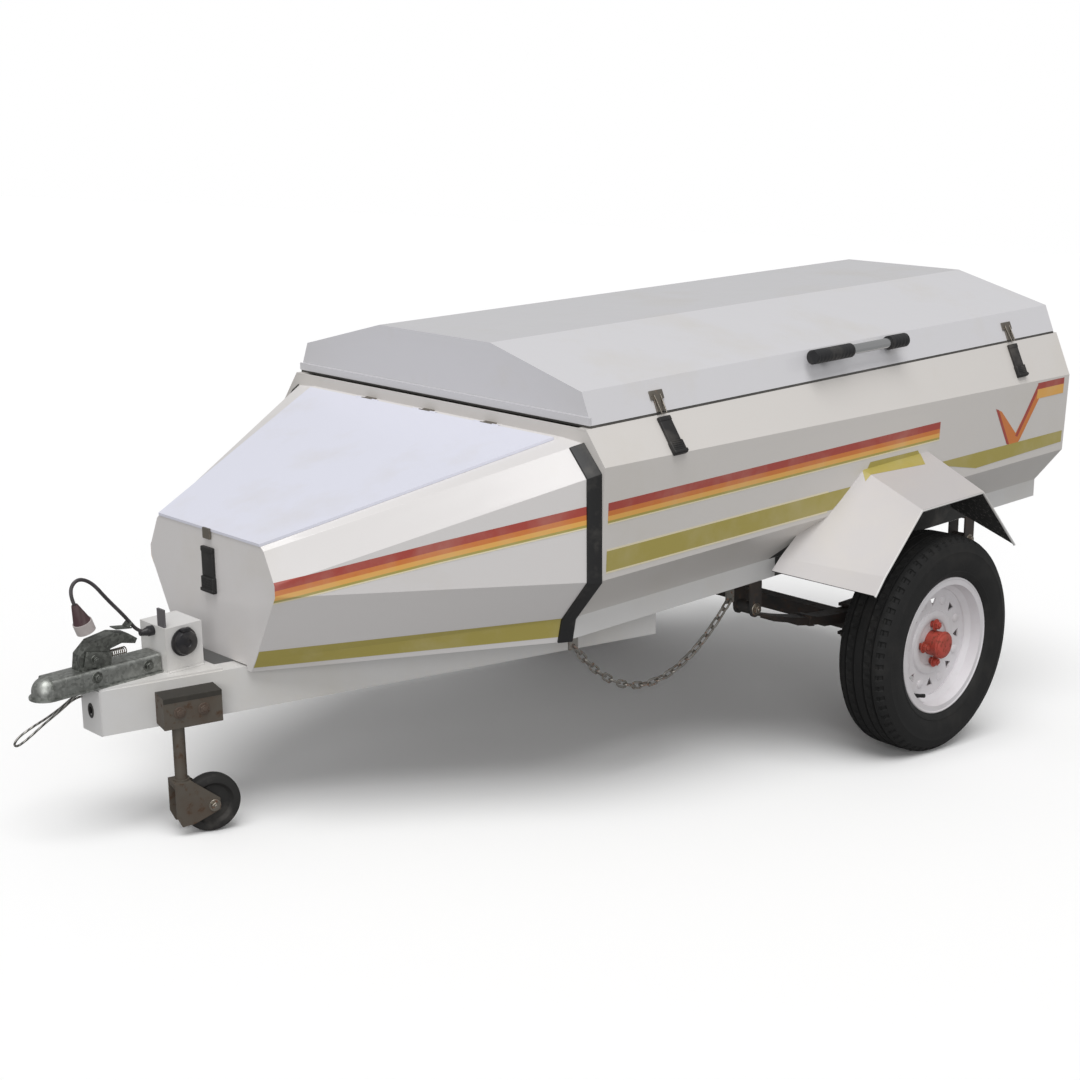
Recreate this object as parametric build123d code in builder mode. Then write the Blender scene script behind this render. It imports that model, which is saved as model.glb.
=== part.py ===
"""Luggage trailer with a lidded body, a nose locker and a folding jockey wheel.

Millimetres, x forward, y to the left, z up. The pieces are drawn in the level chassis frame, with
its origin on the ground under the axle. At the end they are turned nose down, as the trailer
parks on its jockey wheel, and moved so that the origin lies on the ground under the middle.
"""
import os
from math import acos, atan, atan2, cos, degrees, hypot, pi, radians, sin, sqrt, tan

from build123d import *

# Running gear
WHEEL_RADIUS = 289.0
TYRE_WIDTH = 155.0
TRACK_HALF = 676.5
RIM_FLANGE_RADIUS = 181.0
RIM_SEAT_RADIUS = 166.0
RIM_WIDTH = 128.0
RIM_WALL = 3.0
DROP_DEPTH = 18.0
DROP_CENTRE = ((-30.0, 6.0), (-18.0, DROP_DEPTH), (26.0, DROP_DEPTH), (38.0, 6.0))
DISC_OFFSET = 22.0
DISC_THICKNESS = 4.0
VENT_COUNT = 8
VENT_CIRCLE = 112.0
VENT_SIZE = 15.0
HUB_RADIUS = 33.0
HUB_LENGTH = 46.0
DRUM_RADIUS = 100.0
DRUM_DEPTH = 44.0
STUD_COUNT = 4
STUD_CIRCLE = 50.0
STUD_RADIUS = 9.0
STUD_LENGTH = 16.0
STUB_RADIUS = 15.0
RUNNING_GAP = 0.3
AXLE_SQUARE = 40.0
AXLE_DRUM_GAP = 6.0

# Leaf springs, from the eyes at each end to the pad on the axle
SPRING_Y = 463.0
SPRING_WIDTH = 45.0
SPRING_PAD = 4.0
LEAF_THICKNESS = 7.0
LEAF_HALF_LENGTHS = (470.0, 390.0, 290.0, 180.0)
LEAF_RADIUS = 1300.0
EYE_RADIUS = 16.0
EYE_BOLT_RADIUS = 6.5
HANGER_WALL = 5.0
HANGER_LENGTH = 44.0
SPRING_SIDE_GAP = 1.0
CLAMP_PLATE = 8.0
CLAMP_LENGTH = 96.0
U_BOLT_RADIUS = 5.0

# Body sections, half of each, as rows of (y, z) from the rim down
WALL = 4.0
BODY_FRONT_X = 1109.0
BODY_REAR_X = -803.0
RIM_FLANGE = 28.0
BODY_HALF_FRONT = ((530.0, 998.0), (588.0, 921.0), (575.0, 661.0), (488.0, 558.0))
BODY_HALF_REAR = ((530.0, 998.0), (581.0, 882.0), (572.0, 661.0), (488.0, 558.0))
FIT_GAP = 0.3

# Chassis under the body
RAIL_SIZE = 50.0
RAIL_WALL = 3.0
CROSS_STATIONS = (1060.0, 745.0, 0.0, -470.0, -770.0)
CROSS_WIDTH = 40.0
CROSS_WALL = 3.0
LEG_HEIGHT = 100.0
LEG_WIDTH = 50.0
LEG_WALL = 3.0
LEG_FRONT_X = 2063.0
LEG_FRONT_HALF = 38.0
LEG_REAR_X = 725.0
LEG_SPLAY = 0.26
CAP_THICKNESS = 4.0
CAP_HOLE_RADIUS = 9.0

# Coupling and what stands on the drawbar
PLATE_THICKNESS = 5.0
PLATE_REAR_X = 1800.0
PLATE_MARGIN = 3.0
BLOCK_FRONT_X = 1905.0
BLOCK_LENGTH = 92.0
BLOCK_HALF_WIDTH = 50.0
BLOCK_HEIGHT = 100.0
BLOCK_WALL = 4.0
BALL_X = 2166.0
BALL_RADIUS = 25.25
SOCKET_WALL = 6.0
SOCKET_BORE = 14.0
CHANNEL_HALF_WIDTH = 31.0
CHANNEL_HEIGHT = 42.0
CHANNEL_WALL = 4.0
CHANNEL_REAR_GAP = 3.0
LIP_WIDTH = 6.0
LIP_THICKNESS = 4.0
HANDLE_HALF_WIDTH = 17.0

# Nose sections, half of each: hatch edge, shoulder, waist, lower crease, panel foot, skirt
NOSE_FRONT_X = 1750.0
NOSE_HALF_FRONT = (
    (196.0, 800.0),
    (206.0, 785.0),
    (240.0, 716.0),
    (240.0, 690.0),
    (156.0, 530.0),
    (138.0, 500.0),
)
NOSE_HALF_SEAM = (
    (455.0, 978.0),
    (520.0, 966.0),
    (575.0, 905.0),
    (575.0, 660.0),
    (492.0, 558.0),
    (480.0, 500.0),
)
NOSE_FLOOR_Z = 512.0
HATCH_THICKNESS = 6.0
HATCH_GAP = 0.6
HATCH_OVERHANG = 2.0
HATCH_REAR_X = 1128.0
HATCH_LAND = 26.0
HATCH_RIM_DEPTH = 16.0
HATCH_RIM_GAP = 5.0
HATCH_RIM_WALL = 12.0
NOSE_HINGE_STATIONS = (-220.0, 0.0, 220.0)
NOSE_KNUCKLE = 3.2
NOSE_PIN_RADIUS = 1.6
NOSE_KNUCKLE_HALF = 20.0
NOSE_KNUCKLE_END = 42.0
STRIP_WIDTH = 30.0
STRIP_THICKNESS = 5.0

# Main lid section, half of it, as rows of (y, z) from the flat top down
LID_HALF = ((202.0, 1153.0), (500.0, 1076.0), (530.0, 1004.0))
LID_FRONT_X = 1093.0
LID_REAR_X = -786.0
LID_LIP_HEIGHT = 18.0
LID_LIP_THICKNESS = 4.0
SEAL_WIDTH = 18.0
SEAL_GAP = 1.0
LID_HINGE_OUT = 6.0
LID_HINGE_STATIONS = (850.0, 150.0, -550.0)
KNUCKLE_RADIUS = 4.5
KNUCKLE_LENGTH = 30.0
KNUCKLE_GAP = 0.5
PIN_RADIUS = 2.5
PIN_GAP = 0.1
PIN_HALF = 46.0
LEAF_PLATE = 4.5
LEAF_PLATE_HEIGHT = 38.0
LEAF_TAB = 5.0
FACE_GAP = 0.5

# Latches and the lid handle on the left side
LATCH_STATIONS = (870.0, -560.0)
LATCH_WIDTH = 28.0
LATCH_LENGTH = 92.0
LATCH_THICKNESS = 11.0
LATCH_DROP = 8.0
KEEPER_WIDTH = 26.0
KEEPER_LENGTH = 44.0
KEEPER_THICKNESS = 5.0
HANDLE_FRONT_X = 335.0
HANDLE_REAR_X = -45.0
HANDLE_RADIUS = 13.0
HANDLE_GRIP_RADIUS = 18.0
HANDLE_FRONT_GRIP = 150.0
HANDLE_REAR_GRIP = 70.0
HANDLE_STAND_OFF = 16.0

# Fender, corners of its outer arch and of its root on the body side, about the axle line
# as (forward, up) shares of the wheel's radius
FENDER_OUTER_Y = 758.6
FENDER_ROOT_Y = 540.0
FENDER_ARCH = ((1.159, 0.727), (1.038, 0.872), (0.529, 1.367), (-0.401, 1.370), (-0.969, 0.775))
FENDER_ROOT = ((1.626, 0.896), (1.522, 0.990), (0.554, 1.682), (-0.415, 1.699), (-1.038, 0.990))

# Jockey wheel on the left leg
JOCKEY_X = 1888.0
BRACKET_LENGTH = 130.0
BRACKET_HEIGHT = 70.0
BRACKET_WALL = 4.0
BRACKET_DROP = 22.0
BRACKET_SPACER = 18.0
STEM_RADIUS = 13.5
STEM_GAP = 1.5
STEM_LENGTH = 154.0
STEM_HEAD = 20.0
PIVOT_FORWARD = 30.0
PIVOT_RADIUS = 6.0
YOKE_WALL = 6.0
JOCKEY_TRAIL = 63.0
JOCKEY_DROP = 222.0
JOCKEY_RADIUS = 65.0
JOCKEY_REST = 65.19
JOCKEY_WIDTH = 34.0
JOCKEY_EDGE = 6.0

# Hanging chain between the front of the rail and the spring hanger
CHAIN_FRONT = (1085.0, 478.0)
CHAIN_REAR = (540.0, 470.0)
CHAIN_SAG = 150.0
LINK_PITCH = 27.0
LINK_WIRE = 5.5
LINK_WIDTH = 20.0
LINK_PLAY = 0.6
LINK_CORNER = 6.0
LINK_INNER_CORNER = 1.5
CHAIN_SAMPLES = 600
LUG_THICKNESS = 5.0
LUG_HALF_LENGTH = 14.0
LUG_HOLE_RADIUS = 4.4
LUG_EDGE = 4.5

# Trailer lead in the middle plane, corners of its route as (x, z)
LEAD_RADIUS = 5.0
GLAND_RADIUS = 9.0
LEAD_ROUTE = (
    (1913.0, 600.0),
    (1938.0, 600.0),
    (1970.0, 645.0),
    (2010.0, 692.0),
    (2044.0, 738.0),
    (2078.0, 752.0),
    (2098.0, 726.0),
    (2087.0, 696.0),
)
ROUND_SHARE = 0.45
BOOT_LENGTH = 42.0
BOOT_NECK_RADIUS = 7.0
BOOT_RADIUS = 19.0
PLUG_RADIUS = 21.0
PLUG_LENGTH = 24.0

# Wire rope loop at the front of the drawbar, corners of its route as (x, y, z)
ROPE_RADIUS = 2.5
ROPE_ROUTE = (
    (2067.0, -29.0, 490.0),
    (2086.0, -29.0, 490.0),
    (2117.0, -31.0, 471.0),
    (2155.0, -31.0, 455.0),
    (2190.0, -30.0, 445.0),
    (2222.0, -33.0, 430.0),
    (2232.0, -36.0, 415.0),
    (2221.0, -40.0, 407.0),
    (2190.0, -42.0, 420.0),
    (2155.0, -41.0, 441.0),
    (2117.0, -38.0, 461.0),
    (2086.0, -35.0, 481.0),
    (2067.0, -35.0, 481.0),
)

# Lamps and number plate panel at the rear
LAMP_LENGTH = 110.0
LAMP_HEIGHT = 55.0
LAMP_DEPTH = 26.0
LAMP_Y = 410.0
LAMP_Z = 715.0
NUMBER_PLATE_LENGTH = 440.0
NUMBER_PLATE_HEIGHT = 112.0
NUMBER_PLATE_Z = 650.0
NUMBER_PLATE_THICKNESS = 3.0

# Derived heights and the parking pitch
RAIL_BOTTOM_Z = BODY_HALF_FRONT[-1][1] - RAIL_SIZE
RAIL_OUTER_Y = BODY_HALF_FRONT[-1][0]
LEG_TOP_Z = RAIL_BOTTOM_Z
LEG_BOTTOM_Z = LEG_TOP_Z - LEG_HEIGHT
DECK_Z = LEG_TOP_Z + PLATE_THICKNESS
PIVOT_Z = LEG_TOP_Z - BRACKET_DROP - BRACKET_HEIGHT / 2
LEG_ANGLE = atan(LEG_SPLAY)
SLOT_WIDTH = 2 * (STEM_RADIUS + STEM_GAP)
SLOT_FROM_LEG = BRACKET_SPACER + BRACKET_WALL
STEM_FROM_LEG = SLOT_FROM_LEG + SLOT_WIDTH / 2
BRACKET_DEPTH = SLOT_FROM_LEG + SLOT_WIDTH + BRACKET_WALL
JOCKEY_BACK = (PIVOT_FORWARD - JOCKEY_TRAIL) * cos(LEG_ANGLE)
JOCKEY_X_WHEEL = JOCKEY_X + JOCKEY_BACK + sin(LEG_ANGLE) * STEM_FROM_LEG
JOCKEY_Z_WHEEL = PIVOT_Z - JOCKEY_DROP
REACH = hypot(JOCKEY_X_WHEEL, JOCKEY_Z_WHEEL - WHEEL_RADIUS)
RISE = atan2(JOCKEY_X_WHEEL, JOCKEY_Z_WHEEL - WHEEL_RADIUS)
PARKED_PITCH = degrees(acos((JOCKEY_REST - WHEEL_RADIUS) / REACH) - RISE)


def mitred(points, wall, closed):
    """Moves an outline's corners by wall to the right of its direction, with mitred corners."""
    count = len(points)
    normals = []
    for index in range(count if closed else count - 1):
        start = points[index]
        end = points[(index + 1) % count]
        run = hypot(end[0] - start[0], end[1] - start[1])
        normals.append(((end[1] - start[1]) / run, (start[0] - end[0]) / run))
    moved = []
    for index, point in enumerate(points):
        before = normals[index - 1] if closed or index > 0 else normals[0]
        after = normals[index] if closed or index < count - 1 else normals[-1]
        share = wall / (1 + before[0] * after[0] + before[1] * after[1])
        step = (before[0] + after[0], before[1] + after[1])
        moved.append((point[0] + share * step[0], point[1] + share * step[1]))
    return moved


def between(first, last, share):
    """Corners that lie at a share of the way between two sections."""
    return [(a[0] + (b[0] - a[0]) * share, a[1] + (b[1] - a[1]) * share) for a, b in zip(first, last)]


def both_sides(half):
    """A closed outline from the half on the left, in one direction round."""
    return list(half) + [(-y, z) for y, z in reversed(half)]


def band(points, wall):
    """A closed strip of even thickness along an open outline."""
    return list(points) + list(reversed(mitred(points, wall, False)))


def body_half(x):
    """Half section of the body at x."""
    share = (BODY_FRONT_X - x) / (BODY_FRONT_X - BODY_REAR_X)
    return between(BODY_HALF_FRONT, BODY_HALF_REAR, share)


def nose_half(x):
    """Half section of the nose at x, with the hatch's top as its first corner."""
    share = (NOSE_FRONT_X - x) / (NOSE_FRONT_X - BODY_FRONT_X)
    return between(NOSE_HALF_FRONT, NOSE_HALF_SEAM, share)


def shell_half(x):
    """Half section of the nose shell at x, which lies under the hatch."""
    half = nose_half(x)
    low = HATCH_THICKNESS + HATCH_GAP
    return [(half[0][0], half[0][1] - low)] + half[1:]


def at_height(start, end, z):
    """The y at height z on the line from start to end."""
    return start[0] + (end[0] - start[0]) * (z - start[1]) / (end[1] - start[1])


def leg_outer(x):
    """The y of the left drawbar leg's outer face at x."""
    return LEG_FRONT_HALF + LEG_SPLAY * (LEG_FRONT_X - x)


def section(x, points):
    """A closed outline of (y, z) corners, drawn across the trailer at x."""
    with BuildSketch(Plane.YZ.offset(x)) as drawn:
        with BuildLine():
            Polyline(*points, close=True)
        make_face()
    return drawn.sketch


def bar(x, points, length, mode=Mode.ADD):
    """Extrudes a closed outline of (y, z) corners forward from x, into the part being built."""
    extrude(section(x, points), amount=length, dir=(1, 0, 0), mode=mode)


def prism(points, plane, amount, both=False, mode=Mode.ADD):
    """Extrudes a closed outline from a plane, into the part being built."""
    with BuildSketch(plane) as drawn:
        with BuildLine():
            Polyline(*points, close=True)
        make_face()
    extrude(drawn.sketch, amount=amount, both=both, mode=mode)


FROM_BELOW = (Align.CENTER, Align.CENTER, Align.MIN)
FROM_ABOVE = (Align.CENTER, Align.CENTER, Align.MAX)


# Body: two side panels, floor, front wall and rear panel
def side_panel(x):
    """The left side panel's outline at x, with its rim and foot flanges."""
    half = body_half(x)
    rim = [(half[0][0] - RIM_FLANGE, half[0][1])]
    foot = [(half[-1][0] - RIM_FLANGE, half[-1][1])]
    return band(rim + half + foot, WALL)


with BuildPart() as body_side_left:
    for station in (BODY_FRONT_X, BODY_REAR_X):
        add(section(station, side_panel(station)))
    loft(ruled=True)

with BuildPart() as body_side_right:
    mirror(body_side_left.part, about=Plane.XZ)

FLOOR_Z = BODY_HALF_FRONT[-1][1] + WALL
FLOOR_HALF = mitred(list(BODY_HALF_FRONT) + [(0.0, BODY_HALF_FRONT[-1][1])], WALL, False)[-2][0]

with BuildPart() as body_floor:
    with BuildSketch(Plane.XY.offset(FLOOR_Z)):
        with Locations(((BODY_FRONT_X + BODY_REAR_X) / 2, 0)):
            Rectangle(BODY_FRONT_X - BODY_REAR_X, 2 * (FLOOR_HALF - FIT_GAP))
    extrude(amount=WALL)


def end_wall(x):
    """The outline of an end wall between the side panels, from the floor to the rim."""
    half = body_half(x)
    rim = [(half[0][0] - RIM_FLANGE, half[0][1])]
    foot = [(half[-1][0] - RIM_FLANGE, half[-1][1])]
    inner = mitred(rim + half + foot, WALL + FIT_GAP, False)
    foot_y = at_height(inner[3], inner[4], FLOOR_Z + WALL)
    top = [(inner[0][0] - FIT_GAP, half[0][1]), (inner[0][0] - FIT_GAP, inner[1][1])]
    return both_sides(top + inner[1:4] + [(foot_y, FLOOR_Z + WALL)])


with BuildPart() as body_front_wall:
    bar(BODY_FRONT_X - WALL, end_wall(BODY_FRONT_X), WALL)

with BuildPart() as body_rear_panel:
    bar(BODY_REAR_X, end_wall(BODY_REAR_X), WALL)

# Rubber seal on the rim, a closed frame under the lid's edge
RIM_HALF = BODY_HALF_FRONT[0][0]
RIM_Z = BODY_HALF_FRONT[0][1]
SEAL_LENGTH = LID_FRONT_X - LID_REAR_X
SEAL_HEIGHT = LID_HALF[-1][1] - RIM_Z - SEAL_GAP

with BuildPart() as lid_seal:
    with BuildSketch(Plane.XY.offset(RIM_Z)):
        with Locations(((LID_FRONT_X + LID_REAR_X) / 2, 0)):
            Rectangle(SEAL_LENGTH, 2 * RIM_HALF)
            Rectangle(SEAL_LENGTH - 2 * SEAL_WIDTH, 2 * (RIM_HALF - SEAL_WIDTH), mode=Mode.SUBTRACT)
    extrude(amount=SEAL_HEIGHT)


# Nose shell: a tapered moulding, hollow, with the hatch opening on top
def nose_cavity(x):
    """The locker's inner outline at x, with its floor over the drawbar."""
    outer = both_sides(shell_half(x))
    inner = mitred(outer, WALL, True)[: len(NOSE_HALF_SEAM)]
    floor = NOSE_FLOOR_Z + WALL
    foot_y = at_height(inner[-2], inner[-1], floor)
    return both_sides(inner[:-1] + [(foot_y, floor)])


def nose_tunnel(x):
    """The recess between the skirts under the locker's floor at x."""
    half = shell_half(x)
    high = at_height(half[-2], half[-1], NOSE_FLOOR_Z) - WALL
    low = half[-1][0] - WALL
    return both_sides([(high, NOSE_FLOOR_Z), (low, half[-1][1] - WALL)])


def hatch_box(x, margin, high, low):
    """A band under the hatch's top at x, margin inside its side edges."""
    half, top = nose_half(x)[0]
    return both_sides([(half - margin, top - high), (half - margin, top - low)])


NOSE_NOTCH_HALF = leg_outer(NOSE_FRONT_X) + RIM_WALL

with BuildPart() as nose_shell:
    for station in (NOSE_FRONT_X, BODY_FRONT_X):
        add(section(station, both_sides(shell_half(station))))
    loft(ruled=True)
    for station in (NOSE_FRONT_X - WALL, BODY_FRONT_X):
        add(section(station, nose_cavity(station)))
    loft(ruled=True, mode=Mode.SUBTRACT)
    for station in (NOSE_FRONT_X - WALL, BODY_FRONT_X):
        add(section(station, nose_tunnel(station)))
    loft(ruled=True, mode=Mode.SUBTRACT)
    for station in (NOSE_FRONT_X - HATCH_LAND, HATCH_REAR_X + HATCH_LAND):
        add(section(station, hatch_box(station, HATCH_LAND, 0, 4 * HATCH_THICKNESS)))
    loft(ruled=True, mode=Mode.SUBTRACT)
    with Locations((NOSE_FRONT_X, 0, NOSE_FLOOR_Z)):
        Box(4 * WALL, 2 * NOSE_NOTCH_HALF, 4 * WALL, align=FROM_ABOVE, mode=Mode.SUBTRACT)

def ledge_z(x):
    """The height of the shell's ledge under the nose lid at x."""
    return nose_half(x)[0][1] - HATCH_THICKNESS - HATCH_GAP


def cross_rod(first_y, last_y, point, radius, mode=Mode.ADD):
    """A round bar across the trailer through a point of (x, z)."""
    with BuildSketch(Plane.XZ.offset(-first_y)) as drawn:
        with Locations(point):
            Circle(radius)
    extrude(drawn.sketch, amount=first_y - last_y, mode=mode)


# Hinge line of the nose lid, on the ledge behind it
NOSE_PIN = (
    HATCH_REAR_X - NOSE_KNUCKLE - FIT_GAP,
    ledge_z(HATCH_REAR_X - NOSE_KNUCKLE) + NOSE_KNUCKLE + FIT_GAP,
)
NOSE_KNUCKLE_SIDES = (
    (-NOSE_KNUCKLE_END, -NOSE_KNUCKLE_HALF - KNUCKLE_GAP),
    (NOSE_KNUCKLE_HALF + KNUCKLE_GAP, NOSE_KNUCKLE_END),
)

# Nose lid: a flat sloping plate with a rim that drops into the opening and knuckles at its rear
RIM_MARGIN = HATCH_LAND + HATCH_RIM_GAP
HATCH_FRONT_X = NOSE_FRONT_X + HATCH_OVERHANG
HATCH_RIM_Z = HATCH_THICKNESS + HATCH_RIM_DEPTH

with BuildPart() as nose_lid:
    for station in (HATCH_FRONT_X, HATCH_REAR_X):
        add(section(station, hatch_box(station, 0, 0, HATCH_THICKNESS)))
    loft(ruled=True)
    for station in (NOSE_FRONT_X - RIM_MARGIN, HATCH_REAR_X + RIM_MARGIN):
        add(section(station, hatch_box(station, RIM_MARGIN, HATCH_THICKNESS, HATCH_RIM_Z)))
    loft(ruled=True)
    for station in (NOSE_FRONT_X - RIM_MARGIN - HATCH_RIM_WALL, HATCH_REAR_X + RIM_MARGIN + HATCH_RIM_WALL):
        deep = HATCH_RIM_Z + HATCH_RIM_DEPTH
        add(section(station, hatch_box(station, RIM_MARGIN + HATCH_RIM_WALL, HATCH_THICKNESS, deep)))
    loft(ruled=True, mode=Mode.SUBTRACT)
    for station in NOSE_HINGE_STATIONS:
        for first, last in NOSE_KNUCKLE_SIDES:
            cross_rod(station + first, station + last, NOSE_PIN, NOSE_KNUCKLE)
            with Locations((NOSE_PIN[0], station + first, NOSE_PIN[1])):
                Box(
                    2 * NOSE_KNUCKLE,
                    last - first,
                    NOSE_KNUCKLE,
                    align=(Align.MIN, Align.MIN, Align.CENTER),
                )
            bore = NOSE_PIN_RADIUS + PIN_GAP
            cross_rod(station + first, station + last, NOSE_PIN, bore, mode=Mode.SUBTRACT)

NOSE_LEAF = (
    (BODY_FRONT_X, ledge_z(BODY_FRONT_X)),
    (NOSE_PIN[0], ledge_z(NOSE_PIN[0])),
    (NOSE_PIN[0], ledge_z(NOSE_PIN[0]) + NOSE_KNUCKLE),
    (BODY_FRONT_X, ledge_z(BODY_FRONT_X) + NOSE_KNUCKLE / 2),
)

with BuildPart() as locker_hinges:
    for station in NOSE_HINGE_STATIONS:
        prism(NOSE_LEAF, Plane.XZ.offset(-station), NOSE_KNUCKLE_HALF, both=True)
        cross_rod(station - NOSE_KNUCKLE_HALF, station + NOSE_KNUCKLE_HALF, NOSE_PIN, NOSE_KNUCKLE)
        cross_rod(station - NOSE_KNUCKLE_END, station + NOSE_KNUCKLE_END, NOSE_PIN, NOSE_PIN_RADIUS)


# Black rubber strips over the seam between nose and body
def strip_outline(x):
    """The strip's outline at x, seated on the nose shell from shoulder to skirt."""
    return band(shell_half(x)[1:], -STRIP_THICKNESS)


def rubber(side):
    """One strip, on the left for side 1 and on the right for side -1."""
    with BuildPart() as strip:
        for station in (BODY_FRONT_X + STRIP_WIDTH, BODY_FRONT_X):
            add(section(station, [(side * y, z) for y, z in strip_outline(station)]))
        loft(ruled=True)
    return strip.part


with BuildPart() as seam_strip:
    for side in (1, -1):
        add(rubber(side))

# Chassis rails and cross members
with BuildPart() as chassis_rails:
    for side in (1, -1):
        with BuildSketch(Plane.YZ.offset(BODY_REAR_X)):
            with Locations((side * (RAIL_OUTER_Y - RAIL_SIZE / 2), RAIL_BOTTOM_Z + RAIL_SIZE / 2)):
                Rectangle(RAIL_SIZE, RAIL_SIZE)
                Rectangle(RAIL_SIZE - 2 * RAIL_WALL, RAIL_SIZE - 2 * RAIL_WALL, mode=Mode.SUBTRACT)
        extrude(amount=BODY_FRONT_X - BODY_REAR_X)

CROSS_HALF = RAIL_OUTER_Y - RAIL_SIZE

with BuildPart() as cross_members:
    for station in CROSS_STATIONS:
        with BuildSketch(Plane.XZ.offset(-CROSS_HALF)):
            with Locations((station, RAIL_BOTTOM_Z + RAIL_SIZE / 2)):
                Rectangle(CROSS_WIDTH, RAIL_SIZE)
                Rectangle(CROSS_WIDTH - 2 * CROSS_WALL, RAIL_SIZE - 2 * CROSS_WALL, mode=Mode.SUBTRACT)
        extrude(amount=2 * CROSS_HALF)

# Drawbar: two splayed legs that meet on the centre line, and the cap on their front
LEG_ACROSS = LEG_WIDTH / cos(LEG_ANGLE)
INNER_START_X = LEG_FRONT_X - (LEG_ACROSS - LEG_FRONT_HALF) / LEG_SPLAY
WALL_ACROSS = LEG_WALL / cos(LEG_ANGLE)


def leg(side):
    """One leg, a rectangular tube cut off at the centre line."""
    outer = leg_outer(LEG_REAR_X)
    outline = [
        (LEG_FRONT_X, 0),
        (LEG_FRONT_X, side * LEG_FRONT_HALF),
        (LEG_REAR_X, side * outer),
        (LEG_REAR_X, side * (outer - LEG_ACROSS)),
        (INNER_START_X, 0),
    ]
    ahead = LEG_FRONT_X + LEG_WIDTH
    behind = LEG_REAR_X - LEG_WIDTH
    hollow = [
        (ahead, side * (leg_outer(ahead) - WALL_ACROSS)),
        (behind, side * (leg_outer(behind) - WALL_ACROSS)),
        (behind, side * (leg_outer(behind) - LEG_ACROSS + WALL_ACROSS)),
        (ahead, side * (leg_outer(ahead) - LEG_ACROSS + WALL_ACROSS)),
    ]
    with BuildPart() as tube:
        prism(outline, Plane.XY.offset(LEG_BOTTOM_Z), LEG_HEIGHT)
        inside = Plane.XY.offset(LEG_BOTTOM_Z + LEG_WALL)
        prism(hollow, inside, LEG_HEIGHT - 2 * LEG_WALL, mode=Mode.SUBTRACT)
    return tube


drawbar_left = leg(1)
drawbar_right = leg(-1)

with BuildPart() as drawbar_cap:
    with BuildSketch(Plane.YZ.offset(LEG_FRONT_X)):
        with Locations((0, LEG_BOTTOM_Z + LEG_HEIGHT / 2)):
            Rectangle(2 * LEG_FRONT_HALF, LEG_HEIGHT)
            Circle(CAP_HOLE_RADIUS, mode=Mode.SUBTRACT)
    extrude(amount=CAP_THICKNESS)

# Plate across the legs with the folded block that the lead leaves
BLOCK_MIDDLE_X = BLOCK_FRONT_X - BLOCK_LENGTH / 2

PLATE_FRONT_HALF = LEG_FRONT_HALF - PLATE_MARGIN
PLATE_REAR_HALF = leg_outer(PLATE_REAR_X) - PLATE_MARGIN
PLATE_OUTLINE = (
    (LEG_FRONT_X, PLATE_FRONT_HALF),
    (PLATE_REAR_X, PLATE_REAR_HALF),
    (PLATE_REAR_X, -PLATE_REAR_HALF),
    (LEG_FRONT_X, -PLATE_FRONT_HALF),
)

with BuildPart() as coupling_plate:
    prism(PLATE_OUTLINE, Plane.XY.offset(LEG_TOP_Z), PLATE_THICKNESS)
    with Locations((BLOCK_MIDDLE_X, 0, DECK_Z)):
        Box(BLOCK_LENGTH, 2 * BLOCK_HALF_WIDTH, BLOCK_HEIGHT, align=FROM_BELOW)
    with Locations((BLOCK_MIDDLE_X - BLOCK_WALL, 0, DECK_Z)):
        Box(
            BLOCK_LENGTH,
            2 * (BLOCK_HALF_WIDTH - BLOCK_WALL),
            BLOCK_HEIGHT - BLOCK_WALL,
            align=FROM_BELOW,
            mode=Mode.SUBTRACT,
        )
    with BuildSketch(Plane.YZ.offset(BLOCK_FRONT_X)):
        with Locations((0, LEAD_ROUTE[0][1])):
            Circle(GLAND_RADIUS)
    extrude(amount=LEAD_ROUTE[0][0] - BLOCK_FRONT_X)

# Pressed ball coupling: a channel, a domed nose over the ball and a thin lip round its foot
CHANNEL_REAR_X = BLOCK_FRONT_X + CHANNEL_REAR_GAP
CHANNEL_LENGTH = BALL_X - CHANNEL_REAR_X
DOME_RADIUS = BALL_RADIUS + SOCKET_WALL
CHANNEL_MIDDLE_X = CHANNEL_REAR_X + CHANNEL_LENGTH / 2
CAVITY_FRONT_X = BALL_X - DOME_RADIUS
CAVITY_REAR_X = CHANNEL_REAR_X + CHANNEL_WALL
CAVITY_LENGTH = CAVITY_FRONT_X - CAVITY_REAR_X

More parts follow.
